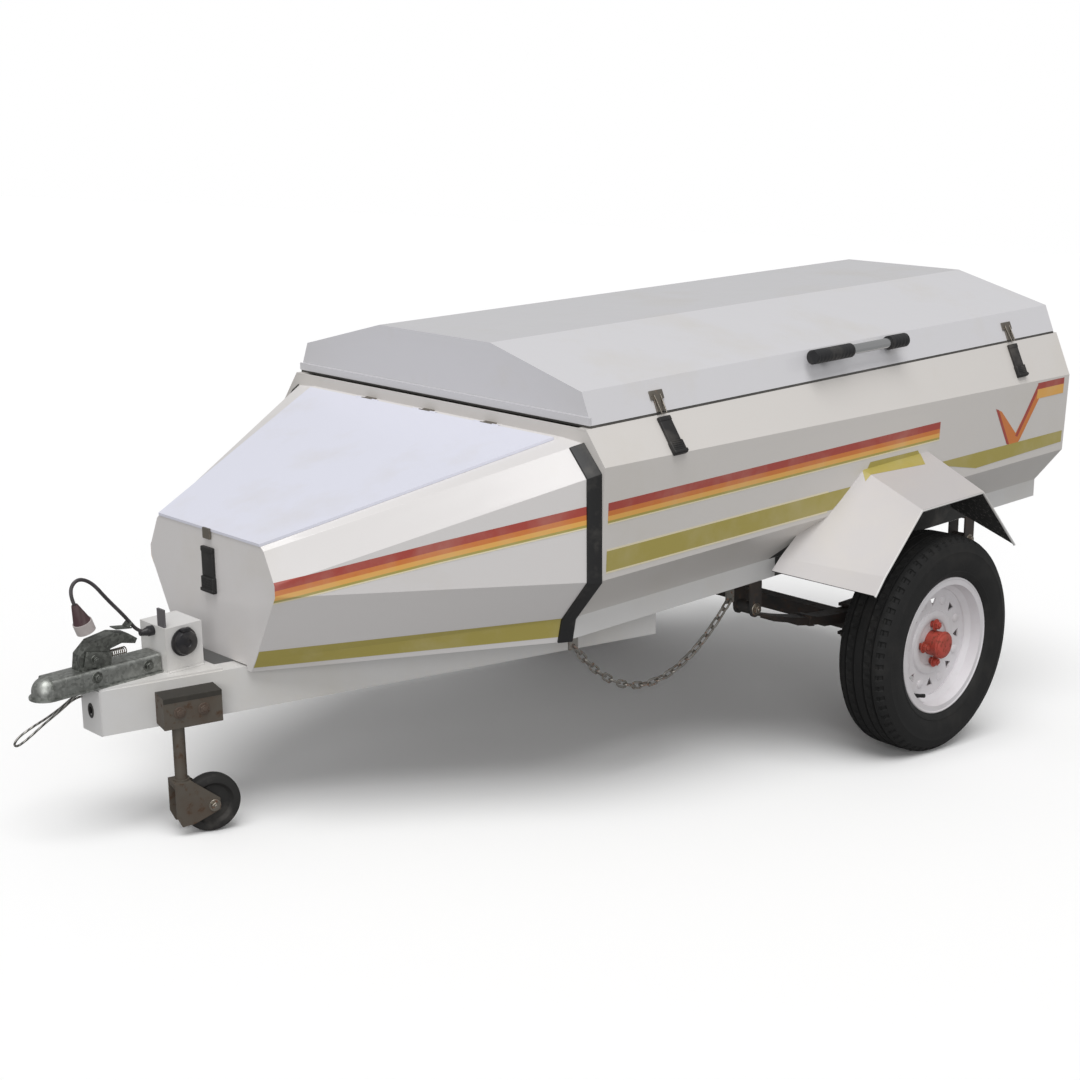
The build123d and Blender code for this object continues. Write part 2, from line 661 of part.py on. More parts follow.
with BuildPart() as coupling_body:
    with Locations((CHANNEL_MIDDLE_X, 0, DECK_Z)):
        Box(CHANNEL_LENGTH, 2 * CHANNEL_HALF_WIDTH, CHANNEL_HEIGHT, align=FROM_BELOW)
    fillet(coupling_body.edges().filter_by(Axis.X).group_by(Axis.Z)[-1], radius=CHANNEL_WALL * 2)
    with Locations((BALL_X, 0, DECK_Z)):
        Cylinder(DOME_RADIUS, SOCKET_BORE, align=FROM_BELOW)
    with Locations((BALL_X, 0, DECK_Z + SOCKET_BORE)):
        Sphere(DOME_RADIUS)
    with BuildSketch(Plane.XY.offset(DECK_Z)):
        with Locations((CHANNEL_MIDDLE_X, 0)):
            Rectangle(CHANNEL_LENGTH, 2 * (CHANNEL_HALF_WIDTH + LIP_WIDTH))
        with Locations((BALL_X, 0)):
            Circle(DOME_RADIUS + LIP_WIDTH)
    extrude(amount=LIP_THICKNESS)
    with Locations((CHANNEL_MIDDLE_X, 0, DECK_Z)):
        Box(2 * LEG_FRONT_X, 4 * DOME_RADIUS, 2 * DOME_RADIUS, align=FROM_ABOVE, mode=Mode.SUBTRACT)
    with Locations((BALL_X, 0, DECK_Z)):
        Cylinder(BALL_RADIUS, SOCKET_BORE, align=FROM_BELOW, mode=Mode.SUBTRACT)
    with Locations((BALL_X, 0, DECK_Z + SOCKET_BORE)):
        Sphere(BALL_RADIUS, mode=Mode.SUBTRACT)
    with Locations((CAVITY_REAR_X + CAVITY_LENGTH / 2, 0, DECK_Z)):
        Box(
            CAVITY_LENGTH,
            2 * (CHANNEL_HALF_WIDTH - CHANNEL_WALL),
            CHANNEL_HEIGHT - CHANNEL_WALL,
            align=FROM_BELOW,
            mode=Mode.SUBTRACT,
        )

# Coupling latch: an arched lever with its grip at the rear, seated on the channel
CHANNEL_TOP_Z = DECK_Z + CHANNEL_HEIGHT
LEVER_PROFILE = (
    (2095.0, CHANNEL_TOP_Z),
    (2090.0, CHANNEL_TOP_Z + 34),
    (2062.0, CHANNEL_TOP_Z + 58),
    (2010.0, CHANNEL_TOP_Z + 66),
    (1974.0, CHANNEL_TOP_Z + 57),
    (1954.0, CHANNEL_TOP_Z + 42),
    (1960.0, CHANNEL_TOP_Z + 32),
    (1992.0, CHANNEL_TOP_Z + 40),
    (2020.0, CHANNEL_TOP_Z + 34),
    (2030.0, CHANNEL_TOP_Z),
)

with BuildPart() as coupling_handle:
    prism(LEVER_PROFILE, Plane.XZ, HANDLE_HALF_WIDTH, both=True)

# Round plug socket on the left of the block and the grey clip on top of it
SOCKET_RADIUS = 26.0
SOCKET_DEPTH = 14.0
SOCKET_X = 1862.0
SOCKET_Z = 576.0
CLIP_LENGTH = 5.0
CLIP_WIDTH = 26.0
CLIP_HEIGHT = 40.0
CLIP_Y = 30.0

with BuildPart() as plug_socket:
    with BuildSketch(Plane.XZ.offset(-BLOCK_HALF_WIDTH)):
        with Locations((SOCKET_X, SOCKET_Z)):
            Circle(SOCKET_RADIUS)
    extrude(amount=-SOCKET_DEPTH)

with BuildPart() as plug_clip:
    with Locations((BLOCK_FRONT_X - CLIP_LENGTH, CLIP_Y, DECK_Z + BLOCK_HEIGHT)):
        Box(CLIP_LENGTH, CLIP_WIDTH, CLIP_HEIGHT, align=FROM_BELOW)


# Cords: straight runs with tangent arcs
def corner_radii(name, route):
    """The arc at each inner corner, as large as the shorter of its two runs allows."""
    radii = []
    for before, corner, after in zip(route, route[1:], route[2:]):
        arriving = Vector(*corner) - Vector(*before)
        leaving = Vector(*after) - Vector(*corner)
        half_turn = radians(arriving.get_angle(leaving)) / 2
        shorter = min(arriving.length, leaving.length)
        radii.append(ROUND_SHARE * shorter / tan(half_turn))
    print(name, "radii", [round(radius, 1) for radius in radii])
    return radii


def tube(name, route, radius):
    """A round tube along a route of (x, y, z) corners."""
    with BuildPart() as made:
        with BuildLine() as path:
            FilletPolyline(*route, radius=corner_radii(name, route))
        line = path.wires()[0]
        with BuildSketch(Plane(origin=line @ 0, z_dir=line % 0)):
            Circle(radius)
        sweep(path=line)
    share = made.part.volume / (line.length * pi * radius**2)
    print(name, "length", round(line.length, 1), "volume share", round(share, 4))
    return made


trailer_lead = tube("trailer_lead", [(x, 0.0, z) for x, z in LEAD_ROUTE], LEAD_RADIUS)
safety_wire = tube("safety_wire", list(ROPE_ROUTE), ROPE_RADIUS)

# Boot and plug at the end of the lead, on the line of its last run
LEAD_END = Vector(LEAD_ROUTE[-1][0], 0, LEAD_ROUTE[-1][1])
LEAD_LAST = LEAD_END - Vector(LEAD_ROUTE[-2][0], 0, LEAD_ROUTE[-2][1])
BOOT_PLANE = Plane(origin=LEAD_END, z_dir=LEAD_LAST)
PLUG_PLANE = BOOT_PLANE.offset(BOOT_LENGTH)

with BuildPart() as lead_boot:
    with BuildSketch(BOOT_PLANE):
        Circle(BOOT_NECK_RADIUS)
    with BuildSketch(PLUG_PLANE):
        Circle(BOOT_RADIUS)
    loft()

with BuildPart() as lead_plug:
    with BuildSketch(PLUG_PLANE):
        Circle(PLUG_RADIUS)
    extrude(amount=PLUG_LENGTH)

# Axle: a square beam with a pad under each spring and a stub in each hub
DISC_Y = TRACK_HALF + DISC_OFFSET
DRUM_INNER_Y = DISC_Y - DRUM_DEPTH
BEAM_HALF = DRUM_INNER_Y - AXLE_DRUM_GAP
STUB_HALF = DISC_Y - DISC_THICKNESS
PAD_TOP_Z = WHEEL_RADIUS + AXLE_SQUARE / 2 + SPRING_PAD

with BuildPart() as axle_beam:
    with Locations((0, 0, WHEEL_RADIUS)):
        Box(AXLE_SQUARE, 2 * BEAM_HALF, AXLE_SQUARE)
        Cylinder(STUB_RADIUS, 2 * STUB_HALF, rotation=(90, 0, 0))
    with Locations((0, SPRING_Y, PAD_TOP_Z - SPRING_PAD / 2), (0, -SPRING_Y, PAD_TOP_Z - SPRING_PAD / 2)):
        Box(CLAMP_LENGTH, SPRING_WIDTH, SPRING_PAD)

# Leaf springs: stepped packs of curved leaves with rolled eyes
PACK_HEIGHT = LEAF_THICKNESS * len(LEAF_HALF_LENGTHS)
MAIN_TOP_Z = PAD_TOP_Z + PACK_HEIGHT
LEAF_CENTRE_Z = MAIN_TOP_Z + LEAF_RADIUS


def leaf_point(x, depth):
    """A point on a leaf's face at x, depth below the main leaf's top."""
    return (x, LEAF_CENTRE_Z - sqrt((LEAF_RADIUS + depth) ** 2 - x**2))


EYE_X = LEAF_HALF_LENGTHS[0]
EYE_Z = leaf_point(EYE_X, 0)[1] + EYE_RADIUS - LEAF_THICKNESS


def leaf_outline(half, depth):
    """The closed outline of one leaf."""
    top = [leaf_point(x, depth) for x in (-half, 0, half)]
    foot = [leaf_point(x, depth + LEAF_THICKNESS) for x in (half, 0, -half)]
    with BuildLine() as drawn:
        ThreePointArc(*top)
        Line(top[-1], foot[0])
        ThreePointArc(*foot)
        Line(foot[-1], top[0])
    return drawn.edges()


with BuildPart() as leaf_springs:
    for side in (1, -1):
        with BuildSketch(Plane.XZ.offset(-side * SPRING_Y)):
            for index, half in enumerate(LEAF_HALF_LENGTHS):
                make_face(leaf_outline(half, index * LEAF_THICKNESS))
            with Locations((-EYE_X, EYE_Z), (EYE_X, EYE_Z)):
                Circle(EYE_RADIUS)
            with Locations((-EYE_X, EYE_Z), (EYE_X, EYE_Z)):
                Circle(EYE_BOLT_RADIUS + RUNNING_GAP, mode=Mode.SUBTRACT)
        extrude(amount=SPRING_WIDTH / 2, both=True)

# Hangers: two cheeks under a plate on the rail, with the bolt through the spring's eye
HANGER_INNER = SPRING_WIDTH / 2 + SPRING_SIDE_GAP
HANGER_OUTER = HANGER_INNER + HANGER_WALL
HANGER_FOOT = EYE_RADIUS + HANGER_WALL

with BuildPart() as spring_hangers:
    for side in (1, -1):
        for station in (-EYE_X, EYE_X):
            middle = side * SPRING_Y
            with BuildSketch(Plane.XZ.offset(-middle)):
                with Locations((station, EYE_Z)):
                    Circle(HANGER_FOOT)
                with Locations((station, (EYE_Z + RAIL_BOTTOM_Z) / 2)):
                    Rectangle(HANGER_LENGTH, RAIL_BOTTOM_Z - EYE_Z)
            extrude(amount=HANGER_OUTER, both=True)
            with Locations((station, middle, RAIL_BOTTOM_Z - HANGER_WALL)):
                Box(
                    2 * HANGER_LENGTH,
                    2 * HANGER_INNER,
                    4 * HANGER_LENGTH,
                    align=FROM_ABOVE,
                    mode=Mode.SUBTRACT,
                )
            with Locations((station, middle, EYE_Z)):
                Cylinder(EYE_BOLT_RADIUS, 2 * HANGER_OUTER + 2 * HANGER_WALL, rotation=(90, 0, 0))

# Axle clamps: a plate over the pack and one under the axle, with U bolts between
CLAMP_FOOT_Z = WHEEL_RADIUS - AXLE_SQUARE / 2 - CLAMP_PLATE
CLAMP_TOP_Z = MAIN_TOP_Z + CLAMP_PLATE
CLAMP_WIDTH = SPRING_WIDTH + 4 * U_BOLT_RADIUS + 2 * SPRING_SIDE_GAP
U_BOLT_X = AXLE_SQUARE / 2 + U_BOLT_RADIUS + SPRING_SIDE_GAP
U_BOLT_Y = SPRING_WIDTH / 2 + U_BOLT_RADIUS + SPRING_SIDE_GAP
CLAMP_SEAT_RISE = leaf_point(CLAMP_LENGTH / 2, 0)[1] - MAIN_TOP_Z

with BuildPart() as axle_clamps:
    for side in (1, -1):
        middle = side * SPRING_Y
        with Locations((0, middle, CLAMP_FOOT_Z)):
            Box(CLAMP_LENGTH, CLAMP_WIDTH, CLAMP_PLATE, align=FROM_BELOW)
        with Locations((0, middle, MAIN_TOP_Z + CLAMP_SEAT_RISE)):
            Box(CLAMP_LENGTH, CLAMP_WIDTH, CLAMP_PLATE, align=FROM_BELOW)
        with Locations((0, middle, CLAMP_FOOT_Z)):
            with GridLocations(2 * U_BOLT_X, 2 * U_BOLT_Y, 2, 2):
                Cylinder(U_BOLT_RADIUS, CLAMP_TOP_Z - CLAMP_FOOT_Z, align=FROM_BELOW)

# Wheels: tyre, pressed rim with vents, and hub with drum, studs and cap
# Tyre section as rows of (distance from the middle plane, radius)
TYRE_HALF = TYRE_WIDTH / 2
BEAD_HALF = RIM_WIDTH / 2 - RIM_WALL - RUNNING_GAP
TYRE_SECTION = (
    (BEAD_HALF, RIM_SEAT_RADIUS),
    (BEAD_HALF, RIM_FLANGE_RADIUS + RUNNING_GAP),
    (TYRE_HALF, 0.80 * WHEEL_RADIUS),
    (0.95 * TYRE_HALF, 0.90 * WHEEL_RADIUS),
    (0.80 * TYRE_HALF, 0.975 * WHEEL_RADIUS),
    (0.60 * TYRE_HALF, WHEEL_RADIUS),
)
RIM_HALF_WIDTH = RIM_WIDTH / 2


def wheel_plane(side):
    """A plane across the axle line at a wheel's middle, with its x along the axle outwards."""
    return Plane(origin=(0, side * TRACK_HALF, WHEEL_RADIUS), x_dir=(0, side, 0), z_dir=(1, 0, 0))


def spin(outline, side):
    """A ring made by turning an outline of (offset, radius) corners about the axle line."""
    plane = wheel_plane(side)
    flip = plane.y_dir.Z
    with BuildPart() as ring:
        with BuildSketch(plane):
            with BuildLine():
                Polyline(*[(along, flip * radius) for along, radius in outline], close=True)
            make_face()
        revolve(axis=Axis((0, 0, WHEEL_RADIUS), (0, 1, 0)))
    return ring.part


def tyre(side):
    """One tyre, open at the bead."""
    mirrored = [(-along, radius) for along, radius in reversed(TYRE_SECTION)]
    return spin(list(TYRE_SECTION) + mirrored, side)


def rim(side):
    """One rim: a drop-centre barrel inside the tyre's bead with a vented disc."""
    seat = RIM_SEAT_RADIUS - RUNNING_GAP
    lip = RIM_HALF_WIDTH - RIM_WALL
    bed = seat - DROP_DEPTH
    outer = [(-lip, seat)] + [(along, seat - drop) for along, drop in DROP_CENTRE] + [(lip, seat)]
    inner = [(along, radius - RIM_WALL) for along, radius in reversed(outer[1:-1])]
    ends = [(RIM_HALF_WIDTH, RIM_FLANGE_RADIUS), (RIM_HALF_WIDTH, seat - RIM_WALL)]
    barrel = [(-RIM_HALF_WIDTH, RIM_FLANGE_RADIUS), (-lip, RIM_FLANGE_RADIUS)] + outer
    barrel += [(lip, RIM_FLANGE_RADIUS)] + ends + inner + [(-RIM_HALF_WIDTH, seat - RIM_WALL)]
    disc_radius = bed - RIM_WALL / 2
    disc_plane = Plane(origin=(0, side * DISC_Y, WHEEL_RADIUS), x_dir=(1, 0, 0), z_dir=(0, side, 0))
    with BuildPart() as made:
        add(spin(barrel, side))
        with BuildSketch(disc_plane):
            Circle(disc_radius)
            Circle(HUB_RADIUS + RUNNING_GAP, mode=Mode.SUBTRACT)
            with PolarLocations(VENT_CIRCLE, VENT_COUNT):
                RegularPolygon(VENT_SIZE, 3, rotation=180, mode=Mode.SUBTRACT)
            with PolarLocations(STUD_CIRCLE, STUD_COUNT):
                Circle(STUD_RADIUS + RUNNING_GAP, mode=Mode.SUBTRACT)
        extrude(amount=-DISC_THICKNESS)
    return made


def hub(side):
    """One hub: brake drum behind the disc, cap and studs through it, bored for the stub."""
    middle = (0, side * (DISC_Y - DISC_THICKNESS), WHEEL_RADIUS)
    face = Plane(origin=middle, x_dir=(1, 0, 0), z_dir=(0, side, 0))
    with BuildPart() as made:
        with BuildSketch(face):
            Circle(DRUM_RADIUS)
        extrude(amount=DISC_THICKNESS - DRUM_DEPTH)
        with BuildSketch(face):
            Circle(HUB_RADIUS)
        extrude(amount=HUB_LENGTH)
        with BuildSketch(face):
            with PolarLocations(STUD_CIRCLE, STUD_COUNT):
                Circle(STUD_RADIUS)
        extrude(amount=STUD_LENGTH)
        with BuildSketch(face.offset(RUNNING_GAP)):
            Circle(STUB_RADIUS + RUNNING_GAP)
        extrude(amount=-DRUM_DEPTH, mode=Mode.SUBTRACT)
    return made


wheel_sides = {"left": 1, "right": -1}
tyres = {name: tyre(side) for name, side in wheel_sides.items()}
rims = {name: rim(side).part for name, side in wheel_sides.items()}
hubs = {name: hub(side).part for name, side in wheel_sides.items()}


# Fenders: a folded shell from its root on the body side to the arch over the wheel
def fender_part(side):
    """One fender, cut off where it meets the body side."""
    with BuildPart() as body_fill:
        for station in (BODY_FRONT_X, BODY_REAR_X):
            half = [(side * y, z) for y, z in body_half(station)]
            add(section(station, half + [(0, half[-1][1]), (0, half[0][1])]))
        loft(ruled=True)
    with BuildPart() as made:
        for across, shares in ((FENDER_ROOT_Y, FENDER_ROOT), (FENDER_OUTER_Y, FENDER_ARCH)):
            corners = [(WHEEL_RADIUS * along, WHEEL_RADIUS * (1 + up)) for along, up in shares]
            with BuildSketch(Plane.XZ.offset(-side * across)):
                with BuildLine():
                    Polyline(*band(corners, -WALL), close=True)
                make_face()
        loft(ruled=True)
        add(body_fill.part, mode=Mode.SUBTRACT)
    return made


fender_left = fender_part(1)
fender_right = fender_part(-1)

# Main lid: a hollow moulding with a lip across its front edge
LID_LENGTH = LID_FRONT_X - LID_REAR_X
LID_OUTER = both_sides(LID_HALF)
LID_INNER_HALF = mitred([(0.0, LID_HALF[0][1])] + list(LID_HALF), WALL, False)[1:]

with BuildPart() as main_lid:
    bar(LID_REAR_X, LID_OUTER, LID_LENGTH)
    bar(LID_REAR_X + WALL, both_sides(LID_INNER_HALF), LID_LENGTH - 2 * WALL, mode=Mode.SUBTRACT)
    with Locations((LID_FRONT_X, 0, LID_HALF[-1][1])):
        Box(
            LID_LIP_THICKNESS,
            2 * LID_HALF[-1][0],
            LID_LIP_HEIGHT,
            align=(Align.MIN, Align.CENTER, Align.MIN),
        )

# Main lid hinges along the right edge
LID_HINGE_Y = -(LID_HALF[-1][0] + LID_HINGE_OUT)
LID_HINGE_Z = LID_HALF[-1][1]
SIDE_KNUCKLE = KNUCKLE_LENGTH / 2 + KNUCKLE_GAP


def face_strip(face, base, side, first, last, gap, thickness):
    """A flat strip's outline off a sloping face, between distances down the face from base."""
    (y0, z0), (y1, z1) = face
    run = hypot(y1 - y0, z1 - z0)
    down = ((y1 - y0) / run, (z1 - z0) / run)
    corners = ((first, gap), (last, gap), (last, gap + thickness), (first, gap + thickness))
    return [
        (
            side * (base[0] + down[0] * along - down[1] * out),
            base[1] + down[1] * along + down[0] * out,
        )
        for along, out in corners
    ]


LID_FACE = (LID_HALF[1], LID_HALF[2])
LID_FOOT = LID_HALF[2]


def body_face(x):
    """The sloping face under the rim at x, from the rim to the waist."""
    return body_half(x)[:2]


with BuildPart() as body_hinges:
    for station in LID_HINGE_STATIONS:
        start = station - KNUCKLE_LENGTH / 2
        face = body_face(station)
        plate = face_strip(face, face[0], -1, 0, LEAF_PLATE_HEIGHT, FACE_GAP, LEAF_PLATE)
        bar(start, plate, KNUCKLE_LENGTH)
        for radius, half in ((KNUCKLE_RADIUS, KNUCKLE_LENGTH / 2), (PIN_RADIUS, PIN_HALF)):
            with BuildSketch(Plane.YZ.offset(station)):
                with Locations((LID_HINGE_Y, LID_HINGE_Z)):
                    Circle(radius)
            extrude(amount=half, both=True)

with BuildPart() as lid_hinge_leaves:
    for station in LID_HINGE_STATIONS:
        start = station - PIN_HALF
        plate = face_strip(
            LID_FACE, LID_FOOT, -1, -LEAF_PLATE_HEIGHT, -LEAF_TAB, FACE_GAP, LEAF_PLATE
        )
        bar(start, plate, 2 * PIN_HALF)
        for offset in (-PIN_HALF, SIDE_KNUCKLE):
            start = station + offset
            tab = face_strip(LID_FACE, LID_FOOT, -1, -LEAF_TAB, LEAF_TAB / 2, FACE_GAP, LEAF_PLATE)
            bar(start, tab, PIN_HALF - SIDE_KNUCKLE)
            with BuildSketch(Plane.YZ.offset(start)):
                with Locations((LID_HINGE_Y, LID_HINGE_Z)):
                    Circle(KNUCKLE_RADIUS)
            extrude(amount=PIN_HALF - SIDE_KNUCKLE)
            with BuildSketch(Plane.YZ.offset(start)):
                with Locations((LID_HINGE_Y, LID_HINGE_Z)):
                    Circle(PIN_RADIUS + PIN_GAP)
            extrude(amount=PIN_HALF - SIDE_KNUCKLE, mode=Mode.SUBTRACT)

# Latches on the body with their keepers on the lids
with BuildPart() as side_latches:
    for station in LATCH_STATIONS:
        face = body_face(station)
        foot = LATCH_DROP + LATCH_LENGTH
        strip = face_strip(face, face[0], 1, LATCH_DROP, foot, FACE_GAP, LATCH_THICKNESS)
        bar(station - LATCH_WIDTH / 2, strip, LATCH_WIDTH)

with BuildPart() as lid_keepers:
    for station in LATCH_STATIONS:
        strip = face_strip(LID_FACE, LID_FOOT, 1, -KEEPER_LENGTH, 0, FACE_GAP, KEEPER_THICKNESS)
        bar(station - KEEPER_WIDTH / 2, strip, KEEPER_WIDTH)

NOSE_LATCH_TOP_Z = 757.0
NOSE_LATCH_LENGTH = 112.0
HATCH_FRONT_Z = NOSE_HALF_FRONT[0][1]
NOSE_KEEPER_HEIGHT = 24.0

with BuildPart() as nose_latch:
    with Locations((NOSE_FRONT_X + FIT_GAP, 0, NOSE_LATCH_TOP_Z)):
        Box(
            LATCH_THICKNESS,
            LATCH_WIDTH,
            NOSE_LATCH_LENGTH,
            align=(Align.MIN, Align.CENTER, Align.MAX),
        )

with BuildPart() as nose_keeper:
    with Locations((HATCH_FRONT_X, 0, HATCH_FRONT_Z)):
        Box(
            KEEPER_THICKNESS,
            KEEPER_WIDTH,
            NOSE_KEEPER_HEIGHT,
            align=(Align.MIN, Align.CENTER, Align.MAX),
        )

# Grab handle on the lid's left side: a bar with a grip at each end
GRIP_REAR_END = HANDLE_REAR_X + HANDLE_REAR_GRIP
GRIP_FRONT_START = HANDLE_FRONT_X - HANDLE_FRONT_GRIP
HANDLE_DOWN = 26.0
HANDLE_OUT = HANDLE_STAND_OFF + HANDLE_GRIP_RADIUS
HANDLE_POINT = face_strip(LID_FACE, LID_HALF[1], 1, HANDLE_DOWN, HANDLE_DOWN, HANDLE_OUT, 1)[0]
FOOT_LENGTH = 24.0
FOOT_WIDTH = 20.0


def rod(first_x, last_x, point, radius, mode=Mode.ADD):
    """A round bar along x through a point of the section."""
    with BuildSketch(Plane.YZ.offset(first_x)) as drawn:
        with Locations(point):
            Circle(radius)
    extrude(drawn.sketch, amount=last_x - first_x, mode=mode)


with BuildPart() as handle_bar:
    rod(GRIP_REAR_END, GRIP_FRONT_START, HANDLE_POINT, HANDLE_RADIUS)

HANDLE_ENDS = ((HANDLE_REAR_X, GRIP_REAR_END), (GRIP_FRONT_START, HANDLE_FRONT_X))

with BuildPart() as handle_grips:
    for first, last in HANDLE_ENDS:
        rod(first, last, HANDLE_POINT, HANDLE_GRIP_RADIUS)
        middle = (first + last) / 2
        foot = face_strip(
            LID_FACE,
            LID_HALF[1],
            1,
            HANDLE_DOWN - FOOT_WIDTH / 2,
            HANDLE_DOWN + FOOT_WIDTH / 2,
            FACE_GAP,
            HANDLE_OUT - FACE_GAP,
        )
        bar(middle - FOOT_LENGTH / 2, foot, FOOT_LENGTH)

# Jockey stand on the left leg: bracket, folding stem, castor yoke and wheel
FORWARD = Vector(cos(LEG_ANGLE), -sin(LEG_ANGLE), 0)
OUTWARD = Vector(sin(LEG_ANGLE), cos(LEG_ANGLE), 0)
BRACKET_BACK = Plane(origin=(JOCKEY_X, leg_outer(JOCKEY_X), PIVOT_Z), x_dir=FORWARD, z_dir=OUTWARD)
BOLT_LENGTH = BRACKET_DEPTH + BRACKET_WALL
PIVOT_PLANE = Plane(
    origin=BRACKET_BACK.origin + FORWARD * PIVOT_FORWARD + OUTWARD * STEM_FROM_LEG,
    x_dir=FORWARD,
    z_dir=(0, 0, 1),
)

with BuildPart() as jockey_bracket:
    with BuildSketch(BRACKET_BACK):
        Rectangle(BRACKET_LENGTH, BRACKET_HEIGHT)
    extrude(amount=BRACKET_DEPTH)
    with BuildSketch(BRACKET_BACK.offset(SLOT_FROM_LEG)):
        with Locations((-BRACKET_WALL, BRACKET_WALL)):
            Rectangle(BRACKET_LENGTH, BRACKET_HEIGHT)
    extrude(amount=SLOT_WIDTH, mode=Mode.SUBTRACT)
    with BuildSketch(BRACKET_BACK.offset(SLOT_FROM_LEG)):
        with Locations((PIVOT_FORWARD, 0)):
            Circle(PIVOT_RADIUS)
    extrude(amount=BOLT_LENGTH - SLOT_FROM_LEG)

with BuildPart() as jockey_stem:
    with BuildSketch(PIVOT_PLANE.offset(STEM_HEAD)):
        Circle(STEM_RADIUS)
    extrude(amount=-STEM_HEAD - STEM_LENGTH)
    with BuildSketch(Plane(origin=PIVOT_PLANE.origin, x_dir=FORWARD, z_dir=OUTWARD)):
        Circle(PIVOT_RADIUS + RUNNING_GAP)
    extrude(amount=SLOT_WIDTH, both=True, mode=Mode.SUBTRACT)

# Castor yoke, its arm profile as rows of (forward, up) from the pivot
YOKE_TOP = -(STEM_LENGTH + RUNNING_GAP)
CROWN_HEIGHT = 12.0
CROWN_RADIUS = 18.0
CROWN_FRONT = 22.0
CROWN_REAR = -16.0
ARM_TOP = YOKE_TOP - 4
CROWN_FOOT = ARM_TOP - CROWN_HEIGHT
ARM_GAP = 3.0
NUT_HEIGHT = 5.0
ARM_INNER = JOCKEY_WIDTH / 2 + ARM_GAP
ARM_END = -JOCKEY_TRAIL - 13
ARM_PROFILE = (
    (CROWN_FRONT, ARM_TOP),
    (CROWN_REAR, ARM_TOP),
    (ARM_END, 14 - JOCKEY_DROP),
    (ARM_END, -12 - JOCKEY_DROP),
    (CROWN_REAR, -34 - JOCKEY_DROP),
    (CROWN_FRONT / 2, -36 - JOCKEY_DROP),
    (CROWN_FRONT, -12 - JOCKEY_DROP),
)
CROWN_PROFILE = (
    (CROWN_FRONT, ARM_TOP),
    (CROWN_REAR, ARM_TOP),
    (CROWN_REAR, CROWN_FOOT),
    (CROWN_FRONT, CROWN_FOOT),
)
SWIVEL_PLANE = Plane(origin=PIVOT_PLANE.origin, x_dir=FORWARD, z_dir=-OUTWARD)
AXLE_POINT = (-JOCKEY_TRAIL, -JOCKEY_DROP)

with BuildPart() as jockey_yoke:
    for side in (1, -1):
        cheek = SWIVEL_PLANE.offset(side * (ARM_INNER + YOKE_WALL / 2))
        prism(ARM_PROFILE, cheek, YOKE_WALL / 2, both=True)
    prism(CROWN_PROFILE, SWIVEL_PLANE, ARM_INNER + YOKE_WALL, both=True)
    with BuildSketch(PIVOT_PLANE.offset(YOKE_TOP)):
        Circle(CROWN_RADIUS)
    extrude(amount=-CROWN_HEIGHT)
    with BuildSketch(SWIVEL_PLANE):
        with Locations(AXLE_POINT):
            Circle(PIVOT_RADIUS)
    extrude(amount=ARM_INNER + YOKE_WALL + NUT_HEIGHT, both=True)

with BuildPart() as jockey_wheel:
    with BuildSketch(SWIVEL_PLANE):
        with Locations(AXLE_POINT):
            Circle(JOCKEY_RADIUS)
    extrude(amount=JOCKEY_WIDTH / 2, both=True)
    fillet(jockey_wheel.edges(), radius=JOCKEY_EDGE)
    with BuildSketch(SWIVEL_PLANE):
        with Locations(AXLE_POINT):
            Circle(PIVOT_RADIUS + RUNNING_GAP)
    extrude(amount=JOCKEY_WIDTH, both=True, mode=Mode.SUBTRACT)

# Hanging chain: links along a curve that sags straight down when the trailer is parked
SAG_STEP = (sin(radians(PARKED_PITCH)) * CHAIN_SAG, -cos(radians(PARKED_PITCH)) * CHAIN_SAG)


def chain_point(share):
    """The chain's curve in (x, z), from its front end at 0 to its rear end at 1."""
    sag = 4 * share * (1 - share)
    return (
        CHAIN_FRONT[0] + (CHAIN_REAR[0] - CHAIN_FRONT[0]) * share + SAG_STEP[0] * sag,
        CHAIN_FRONT[1] + (CHAIN_REAR[1] - CHAIN_FRONT[1]) * share + SAG_STEP[1] * sag,
    )


def chain_joints():
    """Points where the links meet, evenly spaced along the curve."""
    samples = [chain_point(index / CHAIN_SAMPLES) for index in range(CHAIN_SAMPLES + 1)]
    steps = [hypot(b[0] - a[0], b[1] - a[1]) for a, b in zip(samples, samples[1:])]
    count = 2 * round((sum(steps) / LINK_PITCH - 1) / 2) + 1
    spacing = sum(steps) / count
    joints = [samples[0]]
    travelled = 0.0
    for step, sample in zip(steps, samples[1:]):
        travelled += step
        if travelled >= spacing * len(joints) - step / 2:
            joints.append(sample)
    return joints[:count] + [samples[-1]]


def ring(length, width, cut):
    """A rectangle's corners, each cut off, round the middle of a sketch."""
    half_length = length / 2
    half_width = width / 2
    quarter = [(half_length, half_width - cut), (half_length - cut, half_width)]
    upper = quarter + [(-u, v) for u, v in reversed(quarter)]
    return upper + [(-u, -v) for u, v in upper]


with BuildPart() as hanging_chain:
    joints = chain_joints()
    for index, (start, end) in enumerate(zip(joints, joints[1:])):
        length = hypot(end[0] - start[0], end[1] - start[1])
        along = Vector((end[0] - start[0]) / length, 0, (end[1] - start[1]) / length)
        upright = Vector(-along.Z, 0, along.X) if index % 2 == 0 else Vector(0, 1, 0)
        middle = Vector((start[0] + end[0]) / 2, SPRING_Y, (start[1] + end[1]) / 2)
        inner = length + LINK_PLAY
        plane = Plane(origin=middle, x_dir=along, z_dir=upright)
        with BuildSketch(plane):
            with BuildLine():
                Polyline(*ring(inner + 2 * LINK_WIRE, LINK_WIDTH, LINK_CORNER), close=True)
            make_face()
            with BuildLine():
                Polyline(*ring(inner, LINK_WIDTH - 2 * LINK_WIRE, LINK_INNER_CORNER), close=True)
            make_face(mode=Mode.SUBTRACT)
        extrude(amount=LINK_WIRE / 2, both=True)

